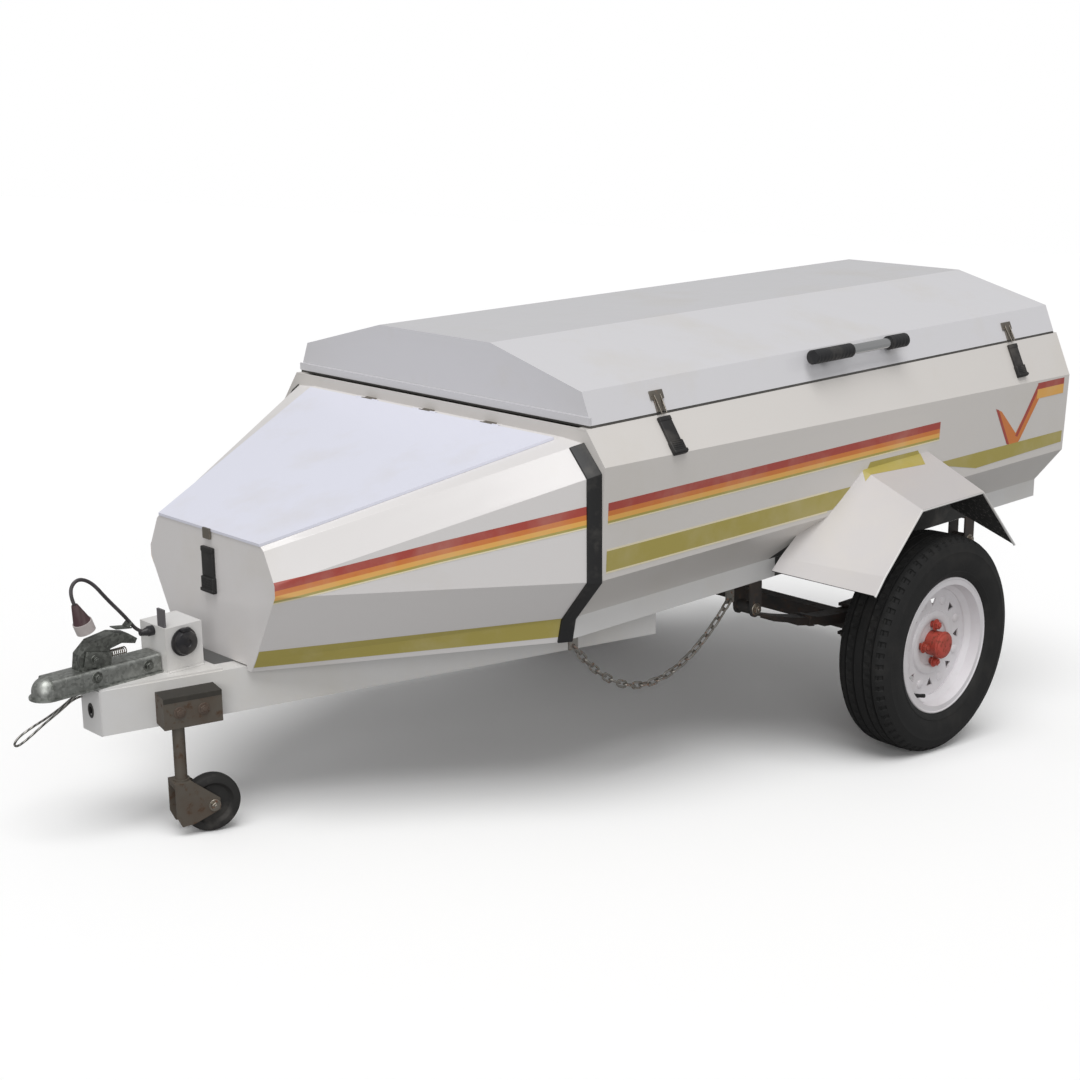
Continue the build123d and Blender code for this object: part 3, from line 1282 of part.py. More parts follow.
# Lugs under the rail, each with the end link's bar through its hole
LINK_BAR = (LINK_WIRE + LINK_PLAY) / 2

with BuildPart() as chain_lugs:
    for end, inward in ((joints[0], joints[1]), (joints[-1], joints[-2])):
        length = hypot(end[0] - inward[0], end[1] - inward[1])
        hole_x = end[0] + (end[0] - inward[0]) / length * LINK_BAR
        hole_z = end[1] + (end[1] - inward[1]) / length * LINK_BAR
        foot_z = hole_z - LUG_HOLE_RADIUS - LUG_EDGE
        with BuildSketch(Plane.XZ.offset(-SPRING_Y)):
            with Locations((hole_x, (foot_z + RAIL_BOTTOM_Z) / 2)):
                Rectangle(2 * LUG_HALF_LENGTH, RAIL_BOTTOM_Z - foot_z)
            with Locations((hole_x, hole_z)):
                Circle(LUG_HOLE_RADIUS, mode=Mode.SUBTRACT)
        extrude(amount=LUG_THICKNESS / 2, both=True)

# Lamps and the blank number plate panel on the rear
with BuildPart() as tail_lamps:
    with Locations((BODY_REAR_X, LAMP_Y, LAMP_Z), (BODY_REAR_X, -LAMP_Y, LAMP_Z)):
        Box(LAMP_DEPTH, LAMP_LENGTH, LAMP_HEIGHT, align=(Align.MAX, Align.CENTER, Align.CENTER))

with BuildPart() as number_plate:
    with Locations((BODY_REAR_X, 0, NUMBER_PLATE_Z)):
        Box(
            NUMBER_PLATE_THICKNESS,
            NUMBER_PLATE_LENGTH,
            NUMBER_PLATE_HEIGHT,
            align=(Align.MAX, Align.CENTER, Align.CENTER),
        )

# Every piece under its own name, turned to the parked stance and centred over the ground
pieces = {
    "body_floor": body_floor.part,
    "body_side_left": body_side_left.part,
    "body_side_right": body_side_right.part,
    "body_front_wall": body_front_wall.part,
    "body_rear_panel": body_rear_panel.part,
    "lid_seal": lid_seal.part,
    "nose_shell": nose_shell.part,
    "seam_strip": seam_strip.part,
    "chassis_rails": chassis_rails.part,
    "cross_members": cross_members.part,
    "drawbar_left": drawbar_left.part,
    "drawbar_right": drawbar_right.part,
    "drawbar_cap": drawbar_cap.part,
    "coupling_plate": coupling_plate.part,
    "coupling_body": coupling_body.part,
    "coupling_handle": coupling_handle.part,
    "plug_socket": plug_socket.part,
    "plug_clip": plug_clip.part,
    "trailer_lead": trailer_lead.part,
    "lead_boot": lead_boot.part,
    "lead_plug": lead_plug.part,
    "safety_wire": safety_wire.part,
    "axle_beam": axle_beam.part,
    "leaf_springs": leaf_springs.part,
    "spring_hangers": spring_hangers.part,
    "axle_clamps": axle_clamps.part,
    "fender_left": fender_left.part,
    "fender_right": fender_right.part,
    "hanging_chain": hanging_chain.part,
    "chain_lugs": chain_lugs.part,
    "tail_lamps": tail_lamps.part,
    "number_plate": number_plate.part,
    "side_latches": side_latches.part,
    "nose_latch": nose_latch.part,
    "body_hinges": body_hinges.part,
    "locker_hinges": locker_hinges.part,
    "jockey_bracket": jockey_bracket.part,
    "main_lid": main_lid.part,
    "handle_bar": handle_bar.part,
    "handle_grips": handle_grips.part,
    "lid_keepers": lid_keepers.part,
    "lid_hinge_leaves": lid_hinge_leaves.part,
    "nose_lid": nose_lid.part,
    "nose_keeper": nose_keeper.part,
    "jockey_stem": jockey_stem.part,
    "jockey_yoke": jockey_yoke.part,
    "jockey_wheel": jockey_wheel.part,
}
for name in wheel_sides:
    pieces[f"tyre_{name}"] = tyres[name]
    pieces[f"rim_{name}"] = rims[name]
    pieces[f"hub_{name}"] = hubs[name]

ON_CORDS = ("trailer_lead", "lead_boot", "lead_plug", "safety_wire")
AXLE_LINE = Location((0, 0, WHEEL_RADIUS))
TURN = AXLE_LINE * Location((0, 0, 0), (0, PARKED_PITCH, 0)) * AXLE_LINE.inverse()
parked = {name: piece.moved(TURN) for name, piece in pieces.items()}
box = Compound(children=[piece for name, piece in parked.items() if name not in ON_CORDS]).bounding_box()
HOME = Location((-(box.min.X + box.max.X) / 2, -(box.min.Y + box.max.Y) / 2, -box.min.Z))
PARKED = HOME * TURN

os.makedirs("parts", exist_ok=True)
for name, piece in pieces.items():
    placed = piece.moved(PARKED)
    placed.label = name
    export_step(placed, f"parts/{name}.step")
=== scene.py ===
"""Luggage trailer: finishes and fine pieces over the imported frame.

Sizes are in metres. New pieces are drawn on the level trailer, with x forward along the
drawbar, y to the left and the ground at z = 0, and are then turned to the parked stance.
"""

import logging
import math
from dataclasses import dataclass
from enum import Enum
from typing import Any, Sequence

import bmesh
import bpy
from mathutils import Matrix, Vector


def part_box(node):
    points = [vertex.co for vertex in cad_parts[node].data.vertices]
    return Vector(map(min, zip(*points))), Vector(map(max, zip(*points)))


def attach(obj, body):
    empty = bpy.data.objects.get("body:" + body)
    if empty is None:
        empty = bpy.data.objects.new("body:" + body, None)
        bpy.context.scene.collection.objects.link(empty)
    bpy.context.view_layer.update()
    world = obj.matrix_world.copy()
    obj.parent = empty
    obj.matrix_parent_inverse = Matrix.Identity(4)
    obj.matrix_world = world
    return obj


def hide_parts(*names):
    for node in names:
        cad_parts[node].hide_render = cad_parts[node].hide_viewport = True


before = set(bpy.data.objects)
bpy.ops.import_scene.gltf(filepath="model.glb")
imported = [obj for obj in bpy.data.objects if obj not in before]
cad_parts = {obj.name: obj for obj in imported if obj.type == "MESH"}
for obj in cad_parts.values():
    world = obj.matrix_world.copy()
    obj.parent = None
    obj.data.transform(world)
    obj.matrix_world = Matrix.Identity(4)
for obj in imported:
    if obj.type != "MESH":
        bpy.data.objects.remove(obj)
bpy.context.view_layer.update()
LOG = logging.getLogger("luggage_trailer")

# Faces that meet at less than this many degrees shade as one smooth surface
SMOOTH_ANGLE = 34.0

Point = tuple[float, float, float]
Flat = tuple[float, float]


class Side(Enum):
    """The two sides of the trailer, with the sign of y."""

    LEFT = 1
    RIGHT = -1

    @property
    def word(self) -> str:
        """The side's name in small letters."""
        return self.name.lower()


class Look(Enum):
    """The direction from which a tape's outline is drawn."""

    FROM_SIDE = "side"
    FROM_ABOVE = "above"


@dataclass(frozen=True)
class Stance:
    """How the level trailer stands when parked on its jockey wheel."""

    pitch: float = 5.045157700022798
    axle_height: float = 0.289
    shift_x: float = -0.71201
    shift_z: float = 0.00003897

    def matrix(self) -> Matrix:
        """Turn about the axle and shift over the ground.

        Returns:
            The matrix from the level trailer to the parked one.
        """
        place = Matrix.Translation((self.shift_x, 0, self.axle_height + self.shift_z))
        turn = Matrix.Rotation(math.radians(self.pitch), 4, "Y")
        return place @ turn @ Matrix.Translation((0, 0, -self.axle_height))


PARKED = Stance().matrix()
LEVEL = PARKED.inverted()


def linear(hex_colour: str) -> tuple[float, float, float, float]:
    """Turn an sRGB hex colour to linear light.

    Args:
        hex_colour: Six hex digits after a hash sign.

    Returns:
        Red, green, blue and an alpha of 1.
    """
    parts = [int(hex_colour[start : start + 2], 16) / 255 for start in (1, 3, 5)]
    levels = [p / 12.92 if p <= 0.04045 else ((p + 0.055) / 1.055) ** 2.4 for p in parts]
    return (*levels, 1.0)


def add_node(
    tree: bpy.types.NodeTree,
    kind: str,
    settings: dict[str, Any] | None = None,
    inputs: dict[Any, Any] | None = None,
) -> bpy.types.Node:
    """Add a node with its settings, values and links.

    Args:
        tree: The node tree it goes into.
        kind: The node's type name.
        settings: Attributes to set.
        inputs: Socket names or numbers with a value, or with an output socket to link.

    Returns:
        The new node.
    """
    node = tree.nodes.new(kind)
    for name, value in (settings or {}).items():
        setattr(node, name, value)
    for name, value in (inputs or {}).items():
        if isinstance(value, bpy.types.NodeSocket):
            tree.links.new(value, node.inputs[name])
        else:
            node.inputs[name].default_value = value
    return node


def per_size(millimetres: float) -> float:
    """Pattern scale for a feature of that real size."""
    return 1000 / millimetres


def wave_scale(millimetres: float) -> float:
    """Scale of a wave texture for ribs of that width, with grooves as wide between them."""
    return per_size(millimetres) / 20 * math.pi


@dataclass
class Surface:
    """One material's node tree while it is being made."""

    tree: bpy.types.NodeTree
    shader: bpy.types.Node
    place: bpy.types.Node

    def patches(self, size: float, low: float, high: float) -> bpy.types.NodeSocket:
        """Soft patches between 0 and 1.

        Args:
            size: Size of a patch in millimetres.
            low: Noise level where a patch starts.
            high: Noise level where it is full.

        Returns:
            The socket with the patches.
        """
        noise = add_node(
            self.tree,
            "ShaderNodeTexNoise",
            None,
            {
                "Vector": self.place.outputs["Object"],
                "Scale": per_size(size),
                "Detail": 6.0,
                "Roughness": 0.6,
            },
        )
        levels = {"Value": noise.outputs[0], "From Min": low, "From Max": high}
        return add_node(self.tree, "ShaderNodeMapRange", None, levels).outputs["Result"]

    def ribs(self, width: float, direction: str) -> bpy.types.NodeSocket:
        """Even ribs or flutes across one direction.

        Args:
            width: Width of a rib, and of the groove beside it, in millimetres.
            direction: The axis that they are counted along.

        Returns:
            The socket with the ribs.
        """
        wave = add_node(
            self.tree,
            "ShaderNodeTexWave",
            {"bands_direction": direction},
            {"Vector": self.place.outputs["Object"], "Scale": wave_scale(width)},
        )
        return wave.outputs[0]

    def blend(
        self, share: bpy.types.NodeSocket, first: Any, second: Any
    ) -> bpy.types.NodeSocket:
        """Mix two colours by a mask.

        Args:
            share: The mask, 0 for the first colour.
            first: A hex colour or a colour socket.
            second: A hex colour or a colour socket.

        Returns:
            The mixed colour's socket.
        """
        low, high = (linear(c) if isinstance(c, str) else c for c in (first, second))
        values = {0: share, 6: low, 7: high}
        return add_node(self.tree, "ShaderNodeMix", {"data_type": "RGBA"}, values).outputs[2]

    def tint(self, share: bpy.types.NodeSocket, first: Any, second: Any) -> None:
        """Give the shader a mix of two colours.

        Args:
            share: The mask, 0 for the first colour.
            first: A hex colour or a colour socket.
            second: A hex colour or a colour socket.
        """
        self.tree.links.new(self.blend(share, first, second), self.shader.inputs["Base Color"])

    def vary(self, name: str, share: bpy.types.NodeSocket, low: float, high: float) -> None:
        """Let one of the shader's values follow a mask.

        Args:
            name: The shader's input.
            share: The mask from 0 to 1.
            low: The value where the mask is 0.
            high: The value where it is 1.
        """
        span = {"Value": share, "To Min": low, "To Max": high}
        level = add_node(self.tree, "ShaderNodeMapRange", None, span)
        self.tree.links.new(level.outputs["Result"], self.shader.inputs[name])

    def relief(
        self, height: bpy.types.NodeSocket, depth: float, strength: float = 1.0
    ) -> None:
        """Press a height pattern into the surface, over any relief already there.

        Args:
            height: The pattern from 0 to 1.
            depth: Its real depth in millimetres.
            strength: How much of it shows.
        """
        links = {"Height": height, "Distance": depth / 1000, "Strength": strength}
        normal = self.shader.inputs["Normal"]
        if normal.is_linked:
            links["Normal"] = normal.links[0].from_socket
        bump = add_node(self.tree, "ShaderNodeBump", None, links)
        self.tree.links.new(bump.outputs["Normal"], normal)


@dataclass(frozen=True)
class Finish:
    """A surface as the real one is made. Each kind dresses the same shader in its own way."""

    name: str
    colour: str
    roughness: float

    def material(self) -> bpy.types.Material:
        """Make the material, or give the one that was made before.

        Returns:
            The finish's material.
        """
        known = bpy.data.materials.get(self.name)
        if known is not None:
            return known
        made = bpy.data.materials.new(self.name)
        made.use_nodes = True
        tree = made.node_tree
        shader = tree.nodes["Principled BSDF"]
        shader.inputs["Base Color"].default_value = linear(self.colour)
        shader.inputs["Roughness"].default_value = self.roughness
        self.dress(Surface(tree, shader, add_node(tree, "ShaderNodeTexCoord")))
        return made

    def dress(self, surface: Surface) -> None:
        """Add the pattern of this kind of surface.

        Args:
            surface: The material under work.
        """
        raise NotImplementedError


@dataclass(frozen=True)
class SheetEnamel(Finish):
    """Sprayed enamel on folded sheet steel: a soft gloss, orange peel, slightly wavy panels and a
    little road dust, so that long panels carry broken, gentle highlights."""

    dust: str = "#c9c2b4"
    dust_size: float = 260.0
    dust_low: float = 0.52
    dust_high: float = 1.25
    wave_length: float = 340.0
    wave_depth: float = 1.1
    peel_size: float = 2.4
    peel_depth: float = 0.02
    gloss_coat: float = 0.25

    def dress(self, surface: Surface) -> None:
        """Add dust, orange peel and the panels' waves."""
        dust = surface.patches(self.dust_size, self.dust_low, self.dust_high)
        surface.tint(dust, self.colour, self.dust)
        surface.shader.inputs["Coat Weight"].default_value = self.gloss_coat
        surface.shader.inputs["Coat Roughness"].default_value = 0.12
        surface.relief(surface.patches(self.wave_length, 0.0, 1.0), self.wave_depth)
        surface.relief(surface.patches(self.peel_size, 0.0, 1.0), self.peel_depth, 0.5)


@dataclass(frozen=True)
class UndersealedEnamel(SheetEnamel):
    """The fenders' enamel outside, and a thick dark brushed underseal with stone chips inside."""

    underseal: str = "#3b3b3a"
    chip: str = "#7c7a76"
    chip_size: float = 9.0
    coat_roughness: float = 0.85
    outward: Point = (0.0, 0.6, 1.0)

    def dress(self, surface: Surface) -> None:
        """Add the enamel, then the underseal where a face looks down or inwards."""
        super().dress(surface)
        enamel = surface.shader.inputs["Base Color"].links[0].from_socket
        facing = add_node(
            surface.tree,
            "ShaderNodeVectorMath",
            {"operation": "DOT_PRODUCT"},
            {0: surface.place.outputs["Normal"], 1: self.outward},
        )
        inside = add_node(
            surface.tree,
            "ShaderNodeMath",
            {"operation": "LESS_THAN"},
            {0: facing.outputs["Value"], 1: -0.02},
        )
        chips = surface.patches(self.chip_size, 0.56, 0.62)
        coat = surface.blend(chips, self.underseal, self.chip)
        both = surface.blend(inside.outputs["Value"], enamel, coat)
        surface.tree.links.new(both, surface.shader.inputs["Base Color"])
        surface.vary("Roughness", inside.outputs["Value"], self.roughness, self.coat_roughness)
        surface.shader.inputs["Coat Weight"].default_value = 0.0


@dataclass(frozen=True)
class WornEnamel(Finish):
    """Brushed-on paint over steel that has chipped: matt colour, rusty edges and dull spots."""

    under: str = "#6b4a38"
    chip_size: float = 18.0
    chip_low: float = 0.55
    chip_high: float = 0.66
    bare_roughness: float = 0.85
    brush_size: float = 3.5
    brush_depth: float = 0.12

    def dress(self, surface: Surface) -> None:
        """Add chips, stains and a brushed relief."""
        chips = surface.patches(self.chip_size, self.chip_low, self.chip_high)
        stain = surface.patches(self.chip_size * 4, 0.35, 0.9)
        stained = surface.blend(stain, self.colour, self.under)
        surface.tint(chips, stained, self.under)
        surface.vary("Roughness", chips, self.roughness, self.bare_roughness)
        surface.relief(surface.patches(self.brush_size, 0.0, 1.0), self.brush_depth, 0.6)


@dataclass(frozen=True)
class GalvanisedSteel(Finish):
    """Hot-dip galvanised steel: grey crystals of slightly different brightness, which catch the
    light one by one, with a dull bloom over them in patches."""

    pale: str = "#d7dade"
    spangle: float = 6.0
    bloom_size: float = 45.0
    bloom_roughness: float = 0.65
    grit: float = 5.0
    grit_depth: float = 0.08

    def dress(self, surface: Surface) -> None:
        """Add the zinc crystals and the bloom."""
        cells = add_node(
            surface.tree,
            "ShaderNodeTexVoronoi",
            None,
            {"Vector": surface.place.outputs["Object"], "Scale": per_size(self.spangle)},
        )
        grey = add_node(surface.tree, "ShaderNodeSeparateColor", None, {0: cells.outputs["Color"]})
        surface.tint(grey.outputs[0], self.colour, self.pale)
        surface.shader.inputs["Metallic"].default_value = 1.0
        bloom = surface.patches(self.bloom_size, 0.4, 0.8)
        surface.vary("Roughness", bloom, self.roughness, self.bloom_roughness)
        surface.relief(surface.patches(self.grit, 0.0, 1.0), self.grit_depth, 0.5)


@dataclass(frozen=True)
class DrawnSteel(Finish):
    """Drawn or pressed steel with fine draw lines and a few rusty freckles."""

    rust: str = "#6d4c39"
    line: float = 0.9
    line_depth: float = 0.02
    line_stretch: float = 0.05
    rust_size: float = 8.0
    rust_low: float = 0.6
    rust_edge: float = 0.12

    def dress(self, surface: Surface) -> None:
        """Add draw lines and freckles."""
        freckles = surface.patches(self.rust_size, self.rust_low, self.rust_low + self.rust_edge)
        surface.tint(freckles, self.colour, self.rust)
        surface.vary("Metallic", freckles, 1.0, 0.0)
        stretched = add_node(
            surface.tree,
            "ShaderNodeMapping",
            None,
            {"Vector": surface.place.outputs["Object"], "Scale": (self.line_stretch, 1.0, 1.0)},
        )
        lines = add_node(
            surface.tree,
            "ShaderNodeTexNoise",
            None,
            {"Vector": stretched.outputs["Vector"], "Scale": per_size(self.line)},
        )
        surface.relief(lines.outputs[0], self.line_depth, 0.4)


@dataclass(frozen=True)
class LaidWire(Finish):
    """Stranded steel wire rope: slanting strands of bright and shaded wire, drawn 3 mm wide,
    which is coarser than the real lay, so that they show."""

    shade: str = "#5b5a57"
    lay: float = 3.0
    lay_depth: float = 0.5
    lay_angle: float = 40.0

    def dress(self, surface: Surface) -> None:
        """Add the slanting strands."""
        slant = (0.0, math.radians(self.lay_angle), 0.0)
        turned = add_node(
            surface.tree,
            "ShaderNodeMapping",
            None,
            {"Vector": surface.place.outputs["Object"], "Rotation": slant},
        )
        strands = add_node(
            surface.tree,
            "ShaderNodeTexWave",
            {"bands_direction": "X"},
            {
                "Vector": turned.outputs["Vector"],
                "Scale": wave_scale(self.lay),
                "Distortion": 0.6,
            },
        )
        # The gaps between the strands take the darker colour: painted shade
        surface.tint(strands.outputs[0], self.shade, self.colour)
        surface.shader.inputs["Metallic"].default_value = 0.8
        surface.relief(strands.outputs[0], self.lay_depth, 0.8)


@dataclass(frozen=True)
class MouldedRubber(Finish):
    """Moulded rubber or soft plastic: nearly black, with a fine matt grain and pale dust in
    patches."""

    dust: str = "#5e5a55"
    dust_size: float = 70.0
    grain: float = 1.2
    grain_depth: float = 0.05
    dust_low: float = 0.5
    dust_high: float = 0.95
    ring: float = 0.0
    ring_depth: float = 1.2

    def dress(self, surface: Surface) -> None:
        """Add dust, grain and, on grips, moulded rings along the length."""
        dust = surface.patches(self.dust_size, self.dust_low, self.dust_high)
        surface.tint(dust, self.colour, self.dust)
        surface.relief(surface.patches(self.grain, 0.0, 1.0), self.grain_depth, 0.6)
        if self.ring:
            surface.relief(surface.ribs(self.ring, "X"), self.ring_depth, 0.8)


@dataclass(frozen=True)
class VinylTape(Finish):
    """Calendered vinyl tape on the enamel: an even colour that has faded in patches, with a soft
    plastic gloss."""

    faded: str = "#d8d2c4"
    fade_size: float = 120.0
    unevenness: float = 4.0

    def dress(self, surface: Surface) -> None:
        """Add fading and the film's slight unevenness."""
        fade = surface.patches(self.fade_size, 0.45, 2.2)
        surface.tint(fade, self.colour, self.faded)
        surface.relief(surface.patches(self.unevenness, 0.0, 1.0), 0.02, 0.5)


@dataclass(frozen=True)
class LampLens(Finish):
    """Moulded red acrylic lens: clear gloss over upright flutes, 6 mm wide, that break the
    light."""

    flute: float = 6.0
    flute_depth: float = 0.8
    groove: str = "#7d1512"

    def dress(self, surface: Surface) -> None:
        """Add the flutes."""
        flutes = surface.ribs(self.flute, "Y")
        # The grooves take the darker red: painted shade
        surface.tint(flutes, self.groove, self.colour)
        surface.shader.inputs["Coat Weight"].default_value = 0.8
        surface.relief(flutes, self.flute_depth, 0.7)


# Sprayed panels, each in its own material: one warm white with a soft, slightly wavy gloss, set a
# little lighter, darker or cooler panel by panel as painted light and shade
WHITE_BODY = SheetEnamel("sprayed_enamel_body_white", "#d3cfcb", 0.34)
# The lid's large sheets are glossier and wavier; their white is painted cooler, a painted
# reflection of the sky
WHITE_LID_SKY_TINTED = SheetEnamel("sprayed_enamel_lid_white", "#d2d1d4", 0.26, wave_depth=1.6)
# The locker's lid lies flat to the sky; its white is painted lighter and bluish, a painted
# reflection of the sky
WHITE_NOSE_LID_SKY_TINTED = SheetEnamel("sprayed_enamel_locker_white", "#dadbe7", 0.28)
WHITE_NOSE = SheetEnamel("sprayed_enamel_nose_white", "#d8d5d4", 0.32)
# Duller enamel on rails and drawbar, with more road dust
WHITE_CHASSIS = SheetEnamel("sprayed_enamel_chassis_white", "#d6d5d4", 0.42, dust_low=0.45)
# The fenders' white is darker than the body's: painted shade for their front faces. Outward is the
# way that a fender's painted face looks, one for each side
WHITE_FENDER_SHADED = {
    side: UndersealedEnamel(
        f"undersealed_enamel_fender_{side.word}",
        "#bbb7b6",
        0.4,
        outward=(0.0, 0.6 * side.value, 1.0),
    )
    for side in Side
}
# Baked wheel enamel: an even pale rim with brown brake dust
RIM_ENAMEL = SheetEnamel("stoved_enamel_rim_white", "#dad7da", 0.4, dust="#a39a92", dust_low=0.42)
# Thin satin black on springs and axle, brown where it has chipped
AXLE_BLACK = WornEnamel("satin_chassis_black", "#2b2b2b", 0.55, under="#4a3d34")
# Old red paint, chalky, with rust in small chips
HUB_RED = WornEnamel("hub_paint_red", "#b84a3e", 0.5, under="#7a3a2a", chip_size=14)
# Brown-grey paint that has mostly gone to rust
JOCKEY_PAINT = WornEnamel("weathered_jockey_paint", "#57524a", 0.6, under="#4b3829")
# Grey zinc crystals: the pressed body is paler than the cast lever
GALVANISED = GalvanisedSteel("galvanised_coupling_steel", "#8b8d89", 0.42, pale="#adafab")
GALVANISED_DULL = GalvanisedSteel("galvanised_steel_weathered", "#626460", 0.5, pale="#868883")
# Bare steels with rusty freckles, and a tube that is polished and keeps clean
CHAIN_STEEL = DrawnSteel("drawn_chain_steel", "#a5a29c", 0.42, rust_low=0.52)
KEEPER_STEEL = DrawnSteel("pressed_keeper_steel", "#8f8980", 0.4)
HANDLE_STEEL = DrawnSteel("polished_handle_tube", "#c9cacb", 0.2, rust_low=0.8)
BOLT_STEEL = DrawnSteel("zinc_plated_bolts", "#9c968c", 0.38, rust_low=0.52)
# Bright wires with painted shade in the gaps between the strands
ROPE_WIRE = LaidWire("stranded_wire_rope", "#b5b3ad", 0.35)
# Rubbers and soft plastics, from deep black tread to the greyed lid seal
TYRE_RUBBER = MouldedRubber("tyre_rubber", "#131313", 0.8, dust="#2b2927")
SEAL_RUBBER = MouldedRubber("greyed_seal_rubber", "#514f4c", 0.6, dust="#7a7670")
STRIP_RUBBER = MouldedRubber("extruded_strip_rubber", "#1c1c1d", 0.5)
LATCH_RUBBER = MouldedRubber("moulded_latch_rubber", "#201f1f", 0.55)
SOCKET_PLASTIC = MouldedRubber("moulded_socket_plastic", "#1d1c20", 0.4)
# Ribbed grips, whose rings catch thin lines of light
GRIP_RUBBER = MouldedRubber("ribbed_grip_rubber", "#1e1e20", 0.6, ring=7.0)
ROLLER_RUBBER = MouldedRubber("solid_roller_rubber", "#232221", 0.75)
# The lead's parts: a brownish ribbed boot, a grey sheath and pale plug bodies
BOOT_RUBBER = MouldedRubber("lead_boot_rubber", "#4a3236", 0.6, ring=6.0)
LEAD_SHEATH = MouldedRubber("lead_sheath_pvc", "#3a3638", 0.45, dust="#6a6668")
PLUG_PLASTIC = MouldedRubber("moulded_plug_plastic", "#5e5c60", 0.45)
PLUG_PALE = MouldedRubber("pale_plug_plastic", "#b9b1af", 0.4, dust="#8f8885")
# Dark matt films of painted shade, with some road grime, along the top of the jockey's bracket,
# and its rusted bolt heads
BRACKET_SHADE_AND_GRIME = MouldedRubber("road_grime_on_paint", "#34312c", 0.85, dust="#4c4740", grain=3.0)
RUSTED_BOLTS = WornEnamel("rusted_bolt_heads", "#5b5047", 0.7, under="#4d392c", chip_size=6)
# A dark, coarse coat without any gloss, laid over the body side and rail inside the wheel arches
ARCH_DARK_COAT = MouldedRubber("dark_arch_coat", "#3a3a39", 0.88, dust="#6f6c68", grain=5.0)
# Flat films with a soft gloss, each colour a little faded
PLATE_BLANK = VinylTape("blank_plate_film", "#e4e2da", 0.35)
TAPE_RED = VinylTape("vinyl_tape_dark_red", "#a8483e", 0.38)
TAPE_ORANGE = VinylTape("vinyl_tape_orange", "#cf7b3c", 0.38)
TAPE_YELLOW = VinylTape("vinyl_tape_yellow", "#e2ab58", 0.38)
TAPE_GOLD = VinylTape("vinyl_tape_gold", "#aa9d52", 0.38)
TAPE_CREAM = VinylTape("vinyl_tape_cream", "#e3d9bb", 0.38)
# Clear red lens with painted shade in the grooves between its flutes
LENS_RED = LampLens("acrylic_lens_red", "#c0241c", 0.15)

NODE_FINISHES: dict[Finish, tuple[str, ...]] = {
    WHITE_BODY: (
        "body_floor",
        "body_side_left",
        "body_side_right",
        "body_front_wall",
        "body_rear_panel",
    ),
    SEAL_RUBBER: ("lid_seal",),
    WHITE_NOSE: ("nose_shell",),
    STRIP_RUBBER: ("seam_strip",),
    WHITE_CHASSIS: (
        "chassis_rails",
        "cross_members",
        "drawbar_left",
        "drawbar_right",
        "drawbar_cap",
        "coupling_plate",
    ),
    GALVANISED: ("coupling_body",),
    GALVANISED_DULL: ("coupling_handle",),
    SOCKET_PLASTIC: ("plug_socket",),
    PLUG_PLASTIC: ("plug_clip",),
    LEAD_SHEATH: ("trailer_lead",),
    BOOT_RUBBER: ("lead_boot",),
    PLUG_PALE: ("lead_plug",),
    ROPE_WIRE: ("safety_wire",),
    AXLE_BLACK: ("axle_beam", "leaf_springs", "spring_hangers", "axle_clamps"),
    WHITE_FENDER_SHADED[Side.LEFT]: ("fender_left",),
    WHITE_FENDER_SHADED[Side.RIGHT]: ("fender_right",),
    CHAIN_STEEL: ("hanging_chain", "chain_lugs"),
    LENS_RED: ("tail_lamps",),
    PLATE_BLANK: ("number_plate",),
    LATCH_RUBBER: ("side_latches", "nose_latch"),
    KEEPER_STEEL: (
        "body_hinges",
        "locker_hinges",
        "lid_keepers",
        "lid_hinge_leaves",
        "nose_keeper",
    ),
    WHITE_LID_SKY_TINTED: ("main_lid",),
    HANDLE_STEEL: ("handle_bar",),
    GRIP_RUBBER: ("handle_grips",),
    WHITE_NOSE_LID_SKY_TINTED: ("nose_lid",),
    TYRE_RUBBER: ("tyre_left", "tyre_right"),
    RIM_ENAMEL: ("rim_left", "rim_right"),
    HUB_RED: ("hub_left", "hub_right"),
    JOCKEY_PAINT: ("jockey_bracket", "jockey_stem", "jockey_yoke"),
    ROLLER_RUBBER: ("jockey_wheel",),
}


def dress_nodes() -> None:
    """Give every CAD node its finish through its object's material slot."""
    for finish, names in NODE_FINISHES.items():
        for name in names:
            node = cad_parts[name]
            if not node.material_slots:
                node.data.materials.append(None)
            slot = node.material_slots[0]
            slot.link = "OBJECT"
            slot.material = finish.material()


def aim(centre: Sequence[float], axis: Sequence[float]) -> Matrix:
    """Place a shape drawn up its own z axis.

    Args:
        centre: Where its middle goes.
        axis: Where its z axis points.

    Returns:
        The matrix that does so.
    """
    turn = Vector(axis).to_track_quat("Z", "Y").to_matrix().to_4x4()
    return Matrix.Translation(Vector(centre)) @ turn


def round_edges(
    mesh: bmesh.types.BMesh, edges: Sequence[bmesh.types.BMEdge], radius: float, segments: int
) -> None:
    """Round or chamfer edges.

    Args:
        mesh: The mesh.
        edges: Its edges to round.
        radius: How far the rounding reaches.
        segments: Facets of each rounding, 1 for a chamfer.
    """
    bmesh.ops.bevel(
        mesh,
        geom=edges,
        offset=radius,
        affect="EDGES",
        segments=segments,
        profile=0.5,
        material=-1,
    )


def tilted(centre: Sequence[float], degrees: float, axis: str = "Y") -> Matrix:
    """Place a shape turned about one of the trailer's axes.

    Args:
        centre: Where its middle goes.
        degrees: How far it is turned.
        axis: The axis's letter.

    Returns:
        The matrix that does so.
    """
    return Matrix.Translation(Vector(centre)) @ Matrix.Rotation(math.radians(degrees), 4, axis)


def add_block(
    mesh: bmesh.types.BMesh,
    place: Matrix,
    size: Point,
    rounding: float,
    segments: int = 2,
    index: int = 0,
) -> None:
    """Add a block with rounded edges.

    Args:
        mesh: The mesh it goes into.
        place: Its middle and directions.
        size: Its length, width and height.
        rounding: Radius of its edges.
        segments: Facets of each rounding.
        index: Material number of its faces.
    """
    own = bmesh.new()
    bmesh.ops.create_cube(own, size=1.0, matrix=Matrix.Diagonal((*size, 1.0)))
    round_edges(own, own.edges[:], rounding, segments)
    bmesh.ops.transform(own, matrix=place, verts=own.verts)
    merge_in(mesh, own, index)


